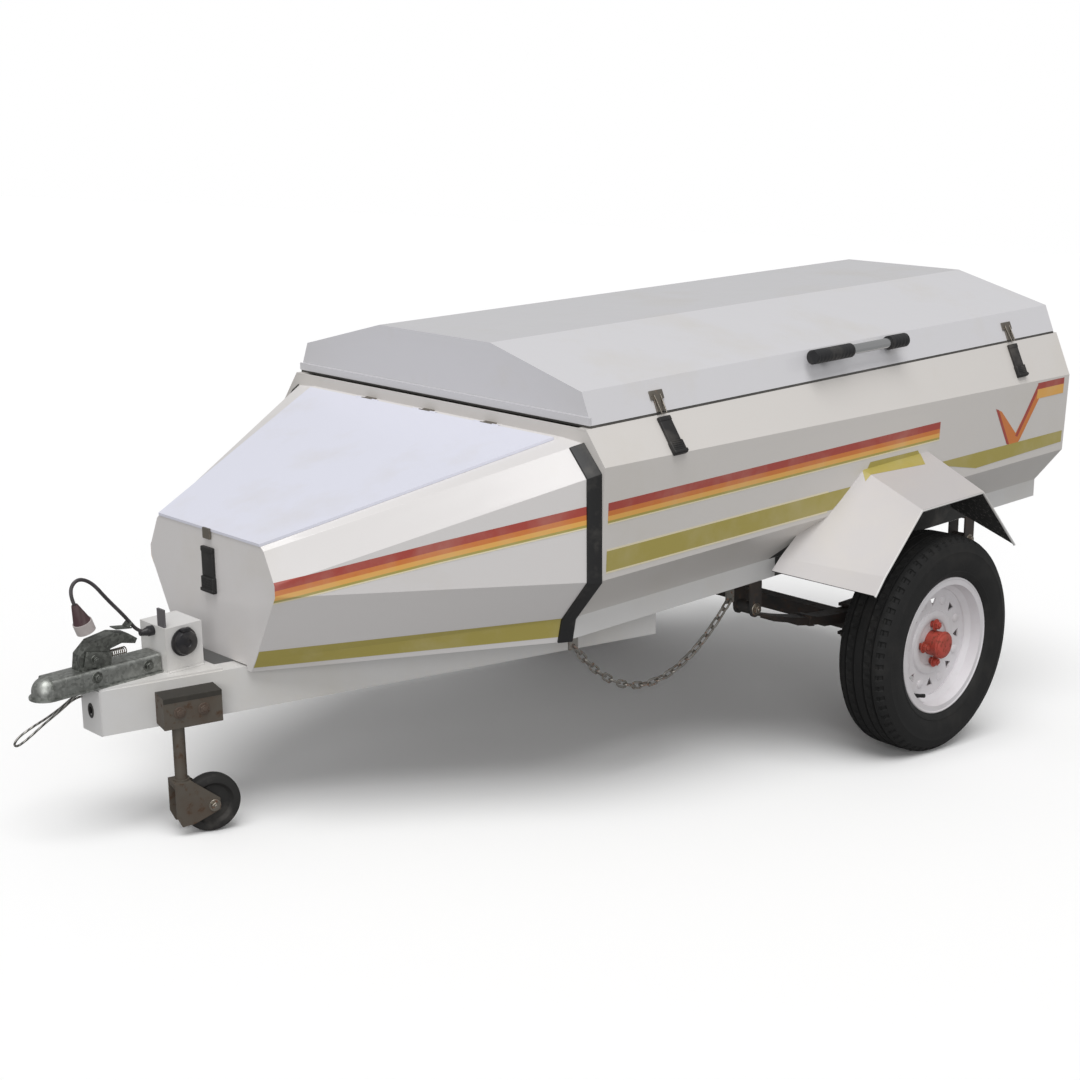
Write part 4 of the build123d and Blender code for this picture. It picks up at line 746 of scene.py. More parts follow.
def merge_in(
    mesh: bmesh.types.BMesh, own: bmesh.types.BMesh, index: int = 0
) -> list[bmesh.types.BMVert]:
    """Move a small mesh into a larger one.

    Args:
        mesh: The larger mesh.
        own: The small mesh, which is freed.
        index: The material number its faces get.

    Returns:
        The vertices in the larger mesh.
    """
    for face in own.faces:
        face.material_index = index
    spare = bpy.data.meshes.new("spare")
    own.to_mesh(spare)
    own.free()
    before = len(mesh.verts)
    mesh.from_mesh(spare)
    bpy.data.meshes.remove(spare)
    mesh.verts.ensure_lookup_table()
    return mesh.verts[before:]


def add_bolt(
    mesh: bmesh.types.BMesh,
    centre: Sequence[float],
    axis: Sequence[float],
    across: float,
    height: float,
    index: int = 0,
) -> None:
    """Add a hexagon head or nut on its washer, with the thread's end above it.

    Args:
        mesh: The mesh it goes into.
        centre: Where the washer's foot sits.
        axis: Which way the head points.
        across: Width across the flats.
        height: Height of the head.
        index: Material number of its faces.
    """
    own = bmesh.new()
    washer = across * 0.12
    up = Vector((0, 0, 1))
    shapes = (
        (24, across * 0.85, washer, 0.0),
        (6, across / math.sqrt(3), height, washer),
        (16, across * 0.3, height * 0.35, washer + height),
    )
    for segments, radius, depth, foot in shapes:
        bmesh.ops.create_cone(
            own,
            cap_ends=True,
            segments=segments,
            radius1=radius,
            radius2=radius,
            depth=depth,
            matrix=Matrix.Translation(up * (foot + depth / 2)),
        )
    sharp = [edge for edge in own.edges if edge.calc_face_angle(0) > 1.2]
    round_edges(own, sharp, across * 0.045, 1)
    bmesh.ops.transform(own, matrix=aim(centre, axis), verts=own.verts)
    merge_in(mesh, own, index)


def add_turned(
    mesh: bmesh.types.BMesh,
    outline: Sequence[Flat],
    centre: Sequence[float],
    axis: Sequence[float],
    steps: int,
    closed: bool = True,
    index: int = 0,
) -> list[bmesh.types.BMVert]:
    """Add a shape turned on a lathe.

    Args:
        mesh: The mesh it goes into.
        outline: Its outline as (offset along the axis, radius).
        centre: The point on the axis at offset 0.
        axis: The axis.
        steps: Facets round it.
        closed: Whether the outline's ends join.
        index: Material number of its faces.

    Returns:
        Its vertices.
    """
    own = bmesh.new()
    corners = [own.verts.new((radius, 0, along)) for along, radius in outline]
    pairs = list(zip(corners, corners[1:]))
    if closed:
        pairs.append((corners[-1], corners[0]))
    edges = [own.edges.new(pair) for pair in pairs]
    bmesh.ops.spin(
        own,
        geom=corners + edges,
        cent=(0, 0, 0),
        axis=(0, 0, 1),
        angle=math.tau,
        steps=steps,
        use_merge=True,
    )
    bmesh.ops.remove_doubles(own, verts=own.verts, dist=1e-6)
    bmesh.ops.recalc_face_normals(own, faces=own.faces)
    bmesh.ops.transform(own, matrix=aim(centre, axis), verts=own.verts)
    return merge_in(mesh, own, index)


def add_rod(
    mesh: bmesh.types.BMesh,
    points: Sequence[Point],
    radius: float,
    sides: int = 4,
    index: int = 0,
) -> None:
    """Add a round rod along straight runs.

    Args:
        mesh: The mesh it goes into.
        points: The corners of its middle line.
        radius: Its radius.
        sides: Facets of a quarter of its section.
        index: Material number of its faces.
    """
    curve = bpy.data.curves.new("spare", "CURVE")
    curve.dimensions = "3D"
    line = curve.splines.new("POLY")
    line.points.add(len(points) - 1)
    for target, point in zip(line.points, points):
        target.co = (*point, 1.0)
    curve.bevel_depth = radius
    curve.bevel_resolution = sides
    curve.use_fill_caps = True
    holder = bpy.data.objects.new("spare", curve)
    spare = bpy.data.meshes.new_from_object(holder)
    own = bmesh.new()
    own.from_mesh(spare)
    bmesh.ops.remove_doubles(own, verts=own.verts, dist=1e-6)
    bmesh.ops.recalc_face_normals(own, faces=own.faces)
    bpy.data.objects.remove(holder)
    bpy.data.curves.remove(curve)
    bpy.data.meshes.remove(spare)
    merge_in(mesh, own, index)


def settle(
    name: str,
    mesh: bmesh.types.BMesh,
    finishes: Sequence[Finish],
    body: str,
) -> bpy.types.Object:
    """Turn a finished mesh to the parked stance and let it ride on its body.

    Args:
        name: The piece's name.
        mesh: The mesh, which is freed.
        finishes: Its materials in order.
        body: The CAD body that carries it.

    Returns:
        The piece.
    """
    bmesh.ops.transform(mesh, matrix=PARKED, verts=mesh.verts)
    mesh.normal_update()
    for edge in mesh.edges:
        edge.smooth = edge.calc_face_angle(0) < math.radians(SMOOTH_ANGLE)
    for face in mesh.faces:
        face.smooth = True
    data = bpy.data.meshes.new(name)
    mesh.to_mesh(data)
    mesh.free()
    piece = bpy.data.objects.new(name, data)
    bpy.context.scene.collection.objects.link(piece)
    for finish in finishes:
        data.materials.append(finish.material())
    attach(piece, body)
    LOG.info("%s: %d faces on %s", name, len(data.polygons), body)
    return piece


@dataclass
class Studio:
    """Camera, soft light and the pale floor."""

    eye: Point = (3.33527, 3.3498, 1.47257)
    right: Point = (-0.72163, 0.690133, 0.054466)
    up: Point = (-0.100502, -0.182282, 0.978097)
    forward: Point = (-0.684945, -0.700349, -0.200899)
    lens: float = 61.84
    sensor: float = 36.0
    sky: float = 0.40
    suns: tuple[tuple[str, float, float, Point], ...] = (
        ("high_soft_sun", 1.90, 45.0, (-0.30, -0.24, -0.92)),
        ("low_front_fill", 0.90, 30.0, (-0.70, -0.67, -0.24)),
    )
    floor_radius: float = 40.0
    floor_seen: str = "#fdfdfd"
    floor_shade: str = "#9c9c9c"

    def camera(self) -> None:
        """Set up the camera at the photograph's viewing point."""
        data = bpy.data.cameras.new("camera")
        data.sensor_width = self.sensor
        data.lens = self.lens
        data.clip_end = 200.0
        holder = bpy.data.objects.new("camera", data)
        bpy.context.scene.collection.objects.link(holder)
        back = -Vector(self.forward)
        turn = Matrix((self.right, self.up, back)).transposed().to_4x4()
        holder.matrix_world = Matrix.Translation(self.eye) @ turn
        bpy.context.scene.camera = holder

    def light(self) -> None:
        """Light the object with an even sky, one high soft sun and one low fill from the front."""
        world = bpy.data.worlds.new("studio")
        bpy.context.scene.world = world
        world.use_nodes = True
        tree = world.node_tree
        tree.nodes.clear()
        path = add_node(tree, "ShaderNodeLightPath")
        strength = add_node(
            tree,
            "ShaderNodeMapRange",
            None,
            {"Value": path.outputs["Is Camera Ray"], "To Min": self.sky, "To Max": 1.0},
        )
        sky = add_node(
            tree,
            "ShaderNodeBackground",
            None,
            {"Color": (1.0, 1.0, 1.0, 1.0), "Strength": strength.outputs["Result"]},
        )
        add_node(tree, "ShaderNodeOutputWorld", None, {"Surface": sky.outputs["Background"]})
        for name, energy, spread, path_down in self.suns:
            sun = bpy.data.lights.new(name, "SUN")
            sun.energy = energy
            sun.angle = math.radians(spread)
            holder = bpy.data.objects.new(name, sun)
            holder.rotation_euler = Vector(path_down).to_track_quat("-Z", "Y").to_euler()
            bpy.context.scene.collection.objects.link(holder)

    def floor(self) -> None:
        """Lay the pale floor, which shows white to the camera and keeps the shadow."""
        mesh = bmesh.new()
        bmesh.ops.create_circle(mesh, cap_ends=True, segments=96, radius=self.floor_radius)
        data = bpy.data.meshes.new("floor")
        mesh.to_mesh(data)
        mesh.free()
        floor = bpy.data.objects.new("floor", data)
        bpy.context.scene.collection.objects.link(floor)
        paper = bpy.data.materials.new("studio_paper")
        paper.use_nodes = True
        tree = paper.node_tree
        path = add_node(tree, "ShaderNodeLightPath")
        shade = add_node(
            tree,
            "ShaderNodeMix",
            {"data_type": "RGBA"},
            {
                0: path.outputs["Is Camera Ray"],
                6: linear(self.floor_shade),
                7: linear(self.floor_seen),
            },
        )
        shader = tree.nodes["Principled BSDF"]
        tree.links.new(shade.outputs[2], shader.inputs["Base Color"])
        shader.inputs["Roughness"].default_value = 1.0
        shader.inputs["Specular IOR Level"].default_value = 0.0
        data.materials.append(paper)

    def build(self) -> None:
        """Set up the camera, the light and the floor."""
        self.camera()
        self.light()
        self.floor()
        bpy.context.scene.view_settings.view_transform = "Standard"
        LOG.info("studio ready")


@dataclass
class FreeCord:
    """A cord on one smooth line through the route's points, level trailer, in metres."""

    name: str
    node: str
    route: tuple[Point, ...]
    diameter: float
    length: float
    far_end: str
    stiffness: str
    lay: str
    finish: Finish
    slot: str
    with_nodes: tuple[str, ...] = ()

    def build(self) -> bpy.types.Object:
        """Returns:
            The cord's curve.
        """
        curve = bpy.data.curves.new(self.name, "CURVE")
        curve.dimensions = "3D"
        line = curve.splines.new("NURBS")
        line.points.add(len(self.route) - 1)
        places = [PARKED @ Vector(point) for point in self.route]
        for target, place in zip(line.points, places):
            target.co = (*place, 1.0)
        line.order_u = 3
        line.use_endpoint_u = True
        line.resolution_u = 14
        curve.bevel_depth = self.diameter / 2
        curve.bevel_resolution = 5
        curve.use_fill_caps = True
        cord = bpy.data.objects.new(self.name, curve)
        bpy.context.scene.collection.objects.link(cord)
        curve.materials.append(self.finish.material())
        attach(cord, "chassis")
        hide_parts(self.node)
        LOG.info("%s laid", self.name)
        return cord


TRAILER_LEAD = FreeCord(
    name="trailer_lead_cord",
    node="trailer_lead",
    route=(
        (1.913, 0.0, 0.600),
        (1.938, 0.0, 0.600),
        (1.970, 0.0, 0.645),
        (2.010, 0.0, 0.692),
        (2.044, 0.0, 0.738),
        (2.078, 0.0, 0.752),
        (2.098, 0.0, 0.726),
        (2.087, 0.0, 0.696),
    ),
    diameter=0.008,
    length=0.291,
    far_end="plug",
    stiffness="medium",
    lay="loose",
    finish=LEAD_SHEATH,
    slot="lead_grey",
    with_nodes=("lead_boot", "lead_plug"),
)
SAFETY_ROPE = FreeCord(
    name="safety_wire_rope",
    node="safety_wire",
    route=(
        (2.067, -0.029, 0.490),
        (2.086, -0.029, 0.490),
        (2.117, -0.031, 0.471),
        (2.155, -0.031, 0.455),
        (2.190, -0.030, 0.445),
        (2.222, -0.033, 0.430),
        (2.232, -0.036, 0.415),
        (2.221, -0.040, 0.407),
        (2.190, -0.042, 0.420),
        (2.155, -0.041, 0.441),
        (2.117, -0.038, 0.461),
        (2.086, -0.035, 0.481),
        (2.067, -0.035, 0.481),
    ),
    diameter=0.005,
    length=0.369,
    far_end="object",
    stiffness="stiff",
    lay="hanging",
    finish=ROPE_WIRE,
    slot="wire_steel",
)


@dataclass(frozen=True)
class Tape:
    """One strip of vinyl: its finish and its convex outline in the view it is drawn from."""

    finish: Finish
    outline: tuple[Flat, ...]


def bands(
    front: tuple[float, float, float],
    rear: tuple[float, float, float],
    shares: Sequence[tuple[Finish, float, float]],
) -> list[Tape]:
    """Split a long stripe into bands of colour.

    Args:
        front: The stripe's front end as (x, top, bottom).
        rear: Its rear end as (x, top, bottom).
        shares: Each band's finish with where it starts and ends, 0 at the top.

    Returns:
        A tape for each band.
    """
    tapes = []
    for finish, start, end in shares:
        corners = []
        for (x, top, bottom), order in ((front, (start, end)), (rear, (end, start))):
            corners += [(x, top + (bottom - top) * share) for share in order]
        tapes.append(Tape(finish, tuple(corners)))
    return tapes


TRIPLE = (
    (TAPE_RED, 0.0, 0.37),
    (TAPE_ORANGE, 0.37, 0.60),
    (TAPE_YELLOW, 0.60, 0.82),
    (TAPE_GOLD, 0.82, 0.93),
    (TAPE_CREAM, 0.93, 1.0),
)
GOLD_EDGED = (
    (TAPE_CREAM, -0.09, 0.0),
    (TAPE_GOLD, 0.0, 1.0),
    (TAPE_CREAM, 1.0, 1.09),
)


@dataclass
class TapeSet:
    """The tapes on one CAD node, cut from a copy of its own surface and lifted off it."""

    name: str
    node: str
    look: Look
    tapes: list[Tape]
    lift: float = 0.00035
    film: float = 0.0002
    facing: float = 0.2

    def surface(self, side: Side) -> bmesh.types.BMesh:
        """Copy the node's faces that look towards the viewer, level.

        Args:
            side: The side of the trailer.

        Returns:
            The faces as a mesh.
        """
        view = Vector((0, side.value, 0)) if self.look is Look.FROM_SIDE else Vector((0, 0, 1))
        mesh = bmesh.new()
        mesh.from_mesh(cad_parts[self.node.format(side=side.word)].data)
        bmesh.ops.transform(mesh, matrix=LEVEL, verts=mesh.verts)
        bmesh.ops.remove_doubles(mesh, verts=mesh.verts, dist=1e-5)
        mesh.normal_update()
        away = [
            face
            for face in mesh.faces
            if face.normal.dot(view) < self.facing or face.calc_center_median().y * side.value < 0
        ]
        bmesh.ops.delete(mesh, geom=away, context="FACES")
        return mesh

    def cut(
        self, surface: bmesh.types.BMesh, tape: Tape, side: Side, layer: int
    ) -> bmesh.types.BMesh:
        """Cut one tape out of the surface.

        Args:
            surface: The faces it lies on.
            tape: The tape.
            side: The side of the trailer.
            layer: How many tapes were laid before it.

        Returns:
            The tape as a thin film.
        """
        own = surface.copy()
        if self.look is Look.FROM_SIDE:
            corners = [Vector((x, 0, z)) for x, z in tape.outline]
            depth = Vector((0, 1, 0))
        else:
            corners = [Vector((x, y * side.value, 0)) for x, y in tape.outline]
            depth = Vector((0, 0, 1))
        middle = sum(corners, Vector()) / len(corners)
        for first, second in zip(corners, corners[1:] + corners[:1]):
            outwards = (second - first).cross(depth).normalized()
            if outwards.dot(middle - first) > 0:
                outwards.negate()
            bmesh.ops.bisect_plane(
                own,
                geom=own.verts[:] + own.edges[:] + own.faces[:],
                dist=1e-7,
                plane_co=first,
                plane_no=outwards,
                clear_outer=True,
            )
        own.normal_update()
        for vert in own.verts:
            vert.co += vert.normal * (self.lift + layer * self.film / 8)
        bmesh.ops.solidify(own, geom=own.faces[:], thickness=self.film)
        return own

    def build(self, side: Side) -> bpy.types.Object:
        """Lay all the tapes of the set on one side.

        Args:
            side: The side of the trailer.

        Returns:
            The tapes as one piece.
        """
        surface = self.surface(side)
        finishes = list(dict.fromkeys(tape.finish for tape in self.tapes))
        mesh = bmesh.new()
        for layer, tape in enumerate(self.tapes):
            film = self.cut(surface, tape, side, layer)
            merge_in(mesh, film, finishes.index(tape.finish))
        surface.free()
        return settle(f"{self.name}_{side.word}", mesh, finishes, "chassis")


BODY_TAPES = TapeSet(
    "tapes_body",
    "body_side_{side}",
    Look.FROM_SIDE,
    bands((1.094, 0.839, 0.789), (-0.169, 0.836, 0.785), TRIPLE)
    + bands((1.094, 0.728, 0.680), (0.30, 0.724, 0.676), GOLD_EDGED)
    + [
        Tape(TAPE_GOLD, ((0.30, 0.724), (0.202, 0.723), (0.278, 0.676), (0.30, 0.676))),
        Tape(
            TAPE_ORANGE,
            ((-0.432, 0.833), (-0.463, 0.821), (-0.545, 0.747), (-0.540, 0.701), (-0.502, 0.724)),
        ),
        Tape(
            TAPE_ORANGE,
            ((-0.640, 0.868), (-0.650, 0.833), (-0.569, 0.728), (-0.540, 0.701), (-0.543, 0.747)),
        ),
        Tape(TAPE_RED, ((-0.432, 0.833), (-0.447, 0.828), (-0.517, 0.718), (-0.502, 0.724))),
        Tape(TAPE_RED, ((-0.637, 0.872), (-0.650, 0.868), (-0.554, 0.736), (-0.543, 0.741))),
        Tape(TAPE_RED, ((-0.638, 0.878), (-0.776, 0.877), (-0.776, 0.859), (-0.638, 0.860))),
        Tape(TAPE_YELLOW, ((-0.638, 0.860), (-0.776, 0.859), (-0.776, 0.832), (-0.638, 0.833))),
        Tape(
            TAPE_GOLD,
            ((-0.165, 0.723), (-0.791, 0.719), (-0.791, 0.686), (-0.357, 0.678), (-0.226, 0.705)),
        ),
        Tape(TAPE_GOLD, ((0.154, 0.744), (0.133, 0.775), (-0.074, 0.773), (-0.107, 0.733))),
    ],
)
NOSE_TAPES = TapeSet(
    "tapes_nose",
    "nose_shell",
    Look.FROM_SIDE,
    bands((1.7505, 0.722, 0.673), (1.431, 0.783, 0.734), TRIPLE)
    + bands((1.431, 0.783, 0.734), (1.111, 0.840, 0.789), TRIPLE)
    + bands((1.7485, 0.553, 0.511), (1.100, 0.561, 0.514), ((TAPE_GOLD, 0.0, 1.0),)),
)
FENDER_TAPES = TapeSet(
    "tapes_fender",
    "fender_{side}",
    Look.FROM_ABOVE,
    [Tape(TAPE_GOLD, ((0.178, 0.599), (0.150, 0.560), (-0.100, 0.560), (-0.053, 0.618)))],
)
# Dark, coarse coats laid over the body side and rail inside each wheel arch
ARCH_COATS = (
    TapeSet(
        "arch_dark_coat_body",
        "body_side_{side}",
        Look.FROM_SIDE,
        [
            Tape(
                ARCH_DARK_COAT,
                (
                    (0.440, 0.545),
                    (0.409, 0.567),
                    (0.156, 0.753),
                    (-0.117, 0.757),
                    (-0.290, 0.625),
                    (-0.395, 0.545),
                ),
            )
        ],
    ),
    TapeSet(
        "arch_dark_coat_rail",
        "chassis_rails",
        Look.FROM_SIDE,
        [Tape(ARCH_DARK_COAT, ((0.395, 0.5085), (0.395, 0.5575), (-0.500, 0.5575), (-0.500, 0.5085)))],
    ),
)


@dataclass
class RoadTyre:
    """A radial road tyre with four grooves round it and slots across its ribs."""

    centre_height: float = 0.289
    track_half: float = 0.6765
    steps: int = 120
    groove_depth: float = 0.0065
    grooves: tuple[Flat, ...] = ((0.040, 0.0035), (0.0145, 0.0035))
    crown: float = 0.55
    shoulder_reach: Flat = (0.274, 0.2865)
    shoulder_out: float = 0.054
    rib_reach: float = 0.2855
    rib_out: Flat = (0.018, 0.036)
    shoulder_slot: Flat = (0.0024, 0.0035)
    rib_slot: Flat = (0.0042, 0.0028)
    wall: tuple[Flat, ...] = (
        (0.0604, 0.1665),
        (0.0604, 0.1816),
        (0.0665, 0.1850),
        (0.0725, 0.1960),
        (0.0735, 0.1985),
        (0.0725, 0.2000),
        (0.0757, 0.2120),
        (0.0773, 0.2250),
        (0.0775, 0.2370),
        (0.0762, 0.2490),
        (0.0768, 0.2510),
        (0.0755, 0.2540),
        (0.0722, 0.2650),
        (0.0690, 0.2730),
        (0.0600, 0.2825),
        (0.0520, 0.2868),
    )

    def outline(self) -> list[Flat]:
        """The section from bead to bead as (offset, radius), with its grooves."""
        crown = []
        for middle, half in self.grooves:
            top = self.centre_height - middle * middle * self.crown
            crown += [
                (middle + half, top),
                (middle + half * 0.6, top - self.groove_depth),
                (middle - half * 0.6, top - self.groove_depth),
                (middle - half, top),
            ]
        upper = list(self.wall) + crown
        return upper + [(-along, radius) for along, radius in reversed(upper)]

    def slots(self, mesh: bmesh.types.BMesh, centre: Vector) -> None:
        """Press slots into every second face of the ribs and shoulders.

        Args:
            mesh: The tyre's mesh.
            centre: The wheel's middle.
        """
        shoulder, ribs = [], []
        for face in mesh.faces:
            arm = face.calc_center_median() - centre
            reach = math.hypot(arm.x, arm.z)
            turn = math.floor((math.atan2(arm.z, arm.x) / math.tau + 1) * self.steps + 0.01)
            if turn % 2:
                continue
            low, high = self.shoulder_reach
            near, far = self.rib_out
            if low < reach < high and abs(arm.y) > self.shoulder_out:
                shoulder.append(face)
            elif reach > self.rib_reach and near < abs(arm.y) < far:
                ribs.append(face)
        for faces, (edge, depth) in ((shoulder, self.shoulder_slot), (ribs, self.rib_slot)):
            bmesh.ops.inset_individual(
                mesh, faces=faces, thickness=edge, depth=-depth, use_even_offset=True
            )

    def build(self, side: Side) -> bpy.types.Object:
        """Make the tyre of one side.

        Args:
            side: The side of the trailer.

        Returns:
            The tyre.
        """
        centre = Vector((0, side.value * self.track_half, self.centre_height))
        mesh = bmesh.new()
        add_turned(mesh, self.outline(), centre, (0, side.value, 0), self.steps)
        self.slots(mesh, centre)
        body = f"wheel_{side.word}"
        tyre = settle(f"road_tyre_{side.word}", mesh, [TYRE_RUBBER], body)
        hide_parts(f"tyre_{side.word}")
        return tyre


@dataclass
class WheelTrim:
    """The rolled rim edges, bosses, wheel nuts, dust cap and valve of one wheel."""

    centre_height: float = 0.289
    track_half: float = 0.6765
    rim_half: float = 0.064
    flange: float = 0.181
    bead: float = 0.0034
    bead_sides: int = 10
    disc_out: float = 0.022
    step: tuple[Flat, ...] = (
        (-0.001, 0.060),
        (0.0045, 0.062),
        (0.0068, 0.067),
        (0.0068, 0.078),
        (0.0042, 0.084),
        (-0.001, 0.087),
    )
    boss_count: int = 8
    boss_circle: float = 0.114
    boss: tuple[Flat, ...] = ((-0.001, 0.0125), (0.0022, 0.0115), (0.0040, 0.0080), (0.0046, 0.0))
    nut_count: int = 4
    nut_circle: float = 0.050
    nut_out: float = 0.011
    nut_across: float = 0.0185
    nut_height: float = 0.010
    cap_in: float = 0.004
    cap: tuple[Flat, ...] = (
        (0.020, 0.0334),
        (0.036, 0.0338),
        (0.0385, 0.0362),
        (0.0415, 0.0362),
        (0.0430, 0.0330),
        (0.0475, 0.0300),
        (0.0500, 0.0240),
        (0.0510, 0.0120),
        (0.0512, 0.0),
    )
    valve_turn: float = -62.0
    valve_circle: float = 0.150
    valve_out: float = 0.018
    valve_lean: float = 0.25
    valve: tuple[Flat, ...] = (
        (0.0, 0.0),
        (0.0, 0.0075),
        (0.010, 0.0060),
        (0.026, 0.0045),
        (0.027, 0.0052),
        (0.037, 0.0052),
        (0.038, 0.0),
    )

    def arm(self, turn: float) -> Vector:
        """Direction from the wheel's middle at that angle, in radians."""
        return Vector((math.cos(turn), 0, math.sin(turn)))

    def rim(self, centre: Vector, out: Vector) -> bmesh.types.BMesh:
        """Roll the rim's edges and press its disc.

        Args:
            centre: The wheel's middle.
            out: The direction away from the trailer.

        Returns:
            The rolled edges, the step and the bosses.
        """
        rim = bmesh.new()
        turns = [math.tau * count / self.bead_sides for count in range(self.bead_sides)]
        ring = [(self.bead * math.cos(turn), self.bead * math.sin(turn)) for turn in turns]
        middle_radius = self.flange - self.bead * 0.6
        for place in (self.rim_half - self.bead * 0.5, -self.rim_half + self.bead * 0.5):
            outline = [(place + along, middle_radius + rise) for along, rise in ring]
            add_turned(rim, outline, centre, out, 96)
        face = centre + out * self.disc_out
        add_turned(rim, self.step, face, out, 72)
        for count in range(self.boss_count):
            turn = math.tau * (count + 0.5) / self.boss_count
            boss = face + self.arm(turn) * self.boss_circle
            add_turned(rim, self.boss, boss, out, 20, closed=False)
        return rim

    def nuts(self, centre: Vector, out: Vector) -> bmesh.types.BMesh:
        """Make the wheel nuts and the dust cap.

        Args:
            centre: The wheel's middle.
            out: The direction away from the trailer.

        Returns:
            The nuts and the cap.
        """
        nuts = bmesh.new()
        face = centre + out * self.disc_out
        for count in range(self.nut_count):
            arm = self.arm(math.tau * count / self.nut_count) * self.nut_circle
            place = face + arm + out * self.nut_out
            add_bolt(nuts, place, out, self.nut_across, self.nut_height)
        add_turned(nuts, self.cap, face - out * self.cap_in, out, 40, closed=False)
        return nuts

    def stem(self, centre: Vector, out: Vector) -> bmesh.types.BMesh:
        """Make the valve, which leans towards the hub.

        Args:
            centre: The wheel's middle.
            out: The direction away from the trailer.

        Returns:
            The valve.
        """
        stem = bmesh.new()
        arm = self.arm(math.radians(self.valve_turn))
        foot = centre + arm * self.valve_circle + out * self.valve_out
        lean = (out - arm * self.valve_lean).normalized()
        add_turned(stem, self.valve, foot, lean, 16, closed=False)
        return stem

    def build(self, side: Side) -> None:
        """Make the trim of one wheel.

        Args:
            side: The side of the trailer.
        """
        out = Vector((0, side.value, 0))
        centre = Vector((0, side.value * self.track_half, self.centre_height))
        body = f"wheel_{side.word}"
        settle(f"rim_trim_{side.word}", self.rim(centre, out), [RIM_ENAMEL], body)
        settle(f"wheel_nuts_{side.word}", self.nuts(centre, out), [HUB_RED], body)
        settle(f"valve_{side.word}", self.stem(centre, out), [TYRE_RUBBER], body)


@dataclass
class FenderBead:
    """The edge of a fender's arch, folded over a wire."""

    radius: float = 0.0032
    outer_y: float = 0.7562
    arch: tuple[Flat, ...] = (
        (1.159, 0.727),
        (1.038, 0.872),
        (0.529, 1.367),
        (-0.401, 1.370),
        (-0.969, 0.775),
    )
    wheel_radius: float = 0.289
    drop: float = 0.003

    def build(self, side: Side) -> bpy.types.Object:
        """Make the bead of one fender.

        Args:
            side: The side of the trailer.

        Returns:
            The bead.
        """
        points = [
            (
                self.wheel_radius * along,
                side.value * self.outer_y,
                self.wheel_radius * (1 + up) - self.drop,
            )
            for along, up in self.arch
        ]
        mesh = bmesh.new()
        add_rod(mesh, points, self.radius)
        name = f"fender_edge_{side.word}"
        return settle(name, mesh, [WHITE_CHASSIS], "chassis")


@dataclass
class HangingChain:
    """The link chain that hangs in a curve under the left rail."""

    front: Flat = (1.085, 0.478)
    rear: Flat = (0.540, 0.470)
    sag: float = 0.150
    across: float = 0.463
    pitch: float = 0.027
    wire: float = 0.0055
    width: float = 0.020
    play: float = 0.0006
    samples: int = 600

    def point(self, share: float) -> Vector:
        """The chain's curve, from its front end at 0 to its rear end at 1."""
        drop = 4 * share * (1 - share) * self.sag
        lean = math.radians(Stance().pitch)
        x = self.front[0] + (self.rear[0] - self.front[0]) * share + math.sin(lean) * drop
        z = self.front[1] + (self.rear[1] - self.front[1]) * share - math.cos(lean) * drop
        return Vector((x, self.across, z))

    def joints(self) -> list[Vector]:
        """The points where the links meet, evenly spaced."""
        marks = [self.point(index / self.samples) for index in range(self.samples + 1)]
        steps = [(b - a).length for a, b in zip(marks, marks[1:])]
        count = 2 * round((sum(steps) / self.pitch - 1) / 2) + 1
        spacing = sum(steps) / count
        found = [marks[0]]
        travelled = 0.0
        for step, mark in zip(steps, marks[1:]):
            travelled += step
            if travelled >= spacing * len(found) - step / 2:
                found.append(mark)
        return found[:count] + [marks[-1]]

    def link(self, inner: float) -> bmesh.types.BMesh:
        """Bend one link from round wire.

        Args:
            inner: Its inner length.

        Returns:
            The link, flat in x and y, long in x.
        """
        own = bmesh.new()
        bend = (self.width - self.wire) / 2
        straight = inner + self.wire - 2 * bend
        start = tilted((straight / 2, bend, 0), 90)
        bmesh.ops.create_circle(own, segments=8, radius=self.wire / 2, matrix=start)
        ring = own.edges[:]
        for end in (1, -1):
            made = bmesh.ops.spin(
                own,
                geom=list({v for e in ring for v in e.verts}) + ring,
                cent=(end * straight / 2, 0, 0),
                axis=(0, 0, -1),
                angle=math.pi,
                steps=6,
            )
            ring = [item for item in made["geom_last"] if isinstance(item, bmesh.types.BMEdge)]
            moved = bmesh.ops.extrude_edge_only(own, edges=ring)
            verts = [v for v in moved["geom"] if isinstance(v, bmesh.types.BMVert)]
            bmesh.ops.translate(own, vec=(-end * straight, 0, 0), verts=verts)
            ring = [e for e in moved["geom"] if isinstance(e, bmesh.types.BMEdge)]
            ring = [e for e in ring if e.verts[0] in verts and e.verts[1] in verts]
        bmesh.ops.remove_doubles(own, verts=own.verts, dist=1e-5)
        bmesh.ops.recalc_face_normals(own, faces=own.faces)
        return own

    def build(self) -> bpy.types.Object:
        """Make the whole chain.

        Returns:
            The chain.
        """
        mesh = bmesh.new()
        joints = self.joints()
        for index, (start, end) in enumerate(zip(joints, joints[1:])):
            along = (end - start).normalized()
            level = Vector((0, 1, 0))
            if index % 2:
                level = along.cross(level)
            turn = Matrix((along, level, along.cross(level))).transposed().to_4x4()
            own = self.link((end - start).length + self.play)
            place = Matrix.Translation((start + end) / 2) @ turn
            bmesh.ops.transform(own, matrix=place, verts=own.verts)
            merge_in(mesh, own)
        chain = settle("link_chain", mesh, [CHAIN_STEEL], "chassis")
        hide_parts("hanging_chain")
        return chain


